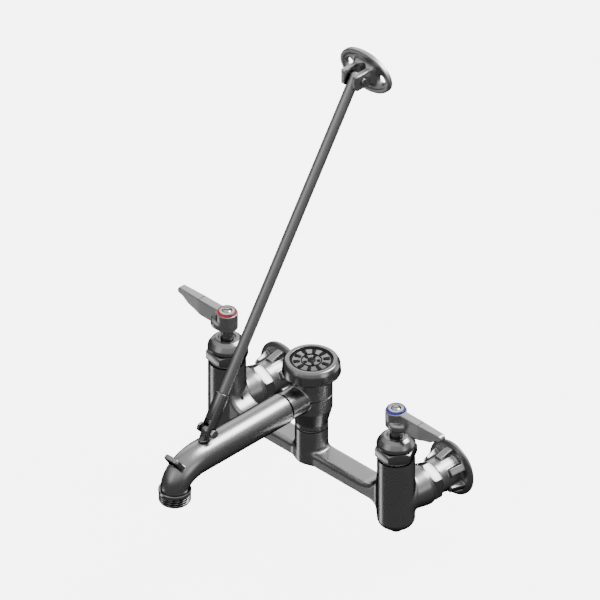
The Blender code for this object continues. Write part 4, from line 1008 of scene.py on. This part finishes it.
def towards(azimuth, elevation):
    """The direction from the object to a viewer, with azimuth 0 in front and 90 on the +X side."""
    a, e = math.radians(azimuth), math.radians(elevation)
    return Vector((math.sin(a) * math.cos(e), -math.cos(a) * math.cos(e), math.sin(e)))


VIEW_WIDTH = 0.5102
VIEW_CENTRE = Vector((-0.0815, 0.0001, 0.0817))
VIEW_AZIMUTH, VIEW_ELEVATION = 45.0, 35.264     # isometric
FLOOR_DROP = 0.03
# Soft lights of the studio: direction, angles in degrees where they are full and where they end, strength.
PANELS = [((0.21, 0.58, 0.80), 9.0, 20.0, 12.0), ((-0.71, -0.39, -0.577), 4.0, 9.0, 3.0),
          ((-0.2, -0.9, 0.5), 10.0, 22.0, 0.5), ((0.95, 0.1, 0.25), 8.0, 16.0, 1.0),
          ((-0.75, 0.62, 0.10), 16.0, 38.0, 1.6), ((0.35, 0.93, -0.05), 10.0, 26.0, 0.8)]
# Tone of the room from straight down (0) to straight up (1).
ROOM = [(0.0, grey(0.02)), (0.20, grey(0.095)), (0.45, grey(0.12)), (0.54, grey(0.06)), (0.74, grey(0.45)),
        (0.92, grey(0.75))]


def camera():
    data = bpy.data.cameras.new("view")
    data.type = "ORTHO"
    data.ortho_scale = VIEW_WIDTH
    made = linked("view", data)
    back = towards(VIEW_AZIMUTH, VIEW_ELEVATION)
    made.location = VIEW_CENTRE + back * 2.0
    made.rotation_euler = back.to_track_quat("Z", "Y").to_euler()
    bpy.context.scene.camera = made


def floor():
    """A plain pale floor that glows a little and stays out of the reflections."""
    bm = bmesh.new()
    bmesh.ops.create_grid(bm, x_segments=1, y_segments=1, size=30.0)
    mesh = bpy.data.meshes.new("floor")
    bm.to_mesh(mesh)
    bm.free()
    made = linked("floor", mesh)
    made.location.z = CAD_BOX[0][2] - FLOOR_DROP
    made.visible_glossy = False
    made.visible_shadow = False
    look, _, shader = new_material("pale_floor")
    shader.inputs["Base Color"].default_value = (*grey(0.30), 1.0)
    shader.inputs["Roughness"].default_value = 0.9
    shader.inputs["Emission Color"].default_value = (1.0, 1.0, 1.0, 1.0)
    shader.inputs["Emission Strength"].default_value = 6.0
    mesh.materials.append(look)


def studio():
    """A room of soft light: dark below, grey around, bright above, with soft panels.

    The camera itself sees plain pale grey.
    """
    world = bpy.data.worlds.new("studio")
    bpy.context.scene.world = world
    world.use_nodes = True
    tree = world.node_tree
    background = tree.nodes["Background"]
    place = tree.nodes.new("ShaderNodeTexCoord")
    split = tree.nodes.new("ShaderNodeSeparateXYZ")
    tree.links.new(place.outputs["Generated"], split.inputs["Vector"])
    height = node(tree, "ShaderNodeMapRange")
    height.inputs["From Min"].default_value = -1.0
    tree.links.new(split.outputs["Z"], height.inputs["Value"])
    total = ramp(tree, height.outputs["Result"], ROOM)
    for direction, core, edge, strength in PANELS:
        aim = node(tree, "ShaderNodeVectorMath", operation="DOT_PRODUCT")
        tree.links.new(place.outputs["Generated"], aim.inputs[0])
        aim.inputs[1].default_value = Vector(direction).normalized()
        fade = node(tree, "ShaderNodeMapRange", interpolation_type="SMOOTHSTEP")
        fade.inputs["From Min"].default_value = math.cos(math.radians(edge))
        fade.inputs["From Max"].default_value = math.cos(math.radians(core))
        fade.inputs["To Max"].default_value = strength
        tree.links.new(aim.outputs["Value"], fade.inputs["Value"])
        add = node(tree, "ShaderNodeMix", data_type="RGBA", blend_type="ADD")
        add.inputs[0].default_value = 1.0
        tree.links.new(total, add.inputs[6])
        tree.links.new(fade.outputs["Result"], add.inputs[7])
        total = add.outputs[2]
    path = tree.nodes.new("ShaderNodeLightPath")
    seen = node(tree, "ShaderNodeMix", data_type="RGBA")
    tree.links.new(path.outputs["Is Camera Ray"], seen.inputs[0])
    tree.links.new(total, seen.inputs[6])
    seen.inputs[7].default_value = (*grey(0.95), 1.0)
    tree.links.new(seen.outputs[2], background.inputs["Color"])


camera()
studio()
floor()
main_casting()
inlet_flanges()
couplings()
bonnets()
levers()
stops()
vacuum_breaker()
cap_plate()
spout()
hose_outlet()
brace()
bracket()
inner_pieces()
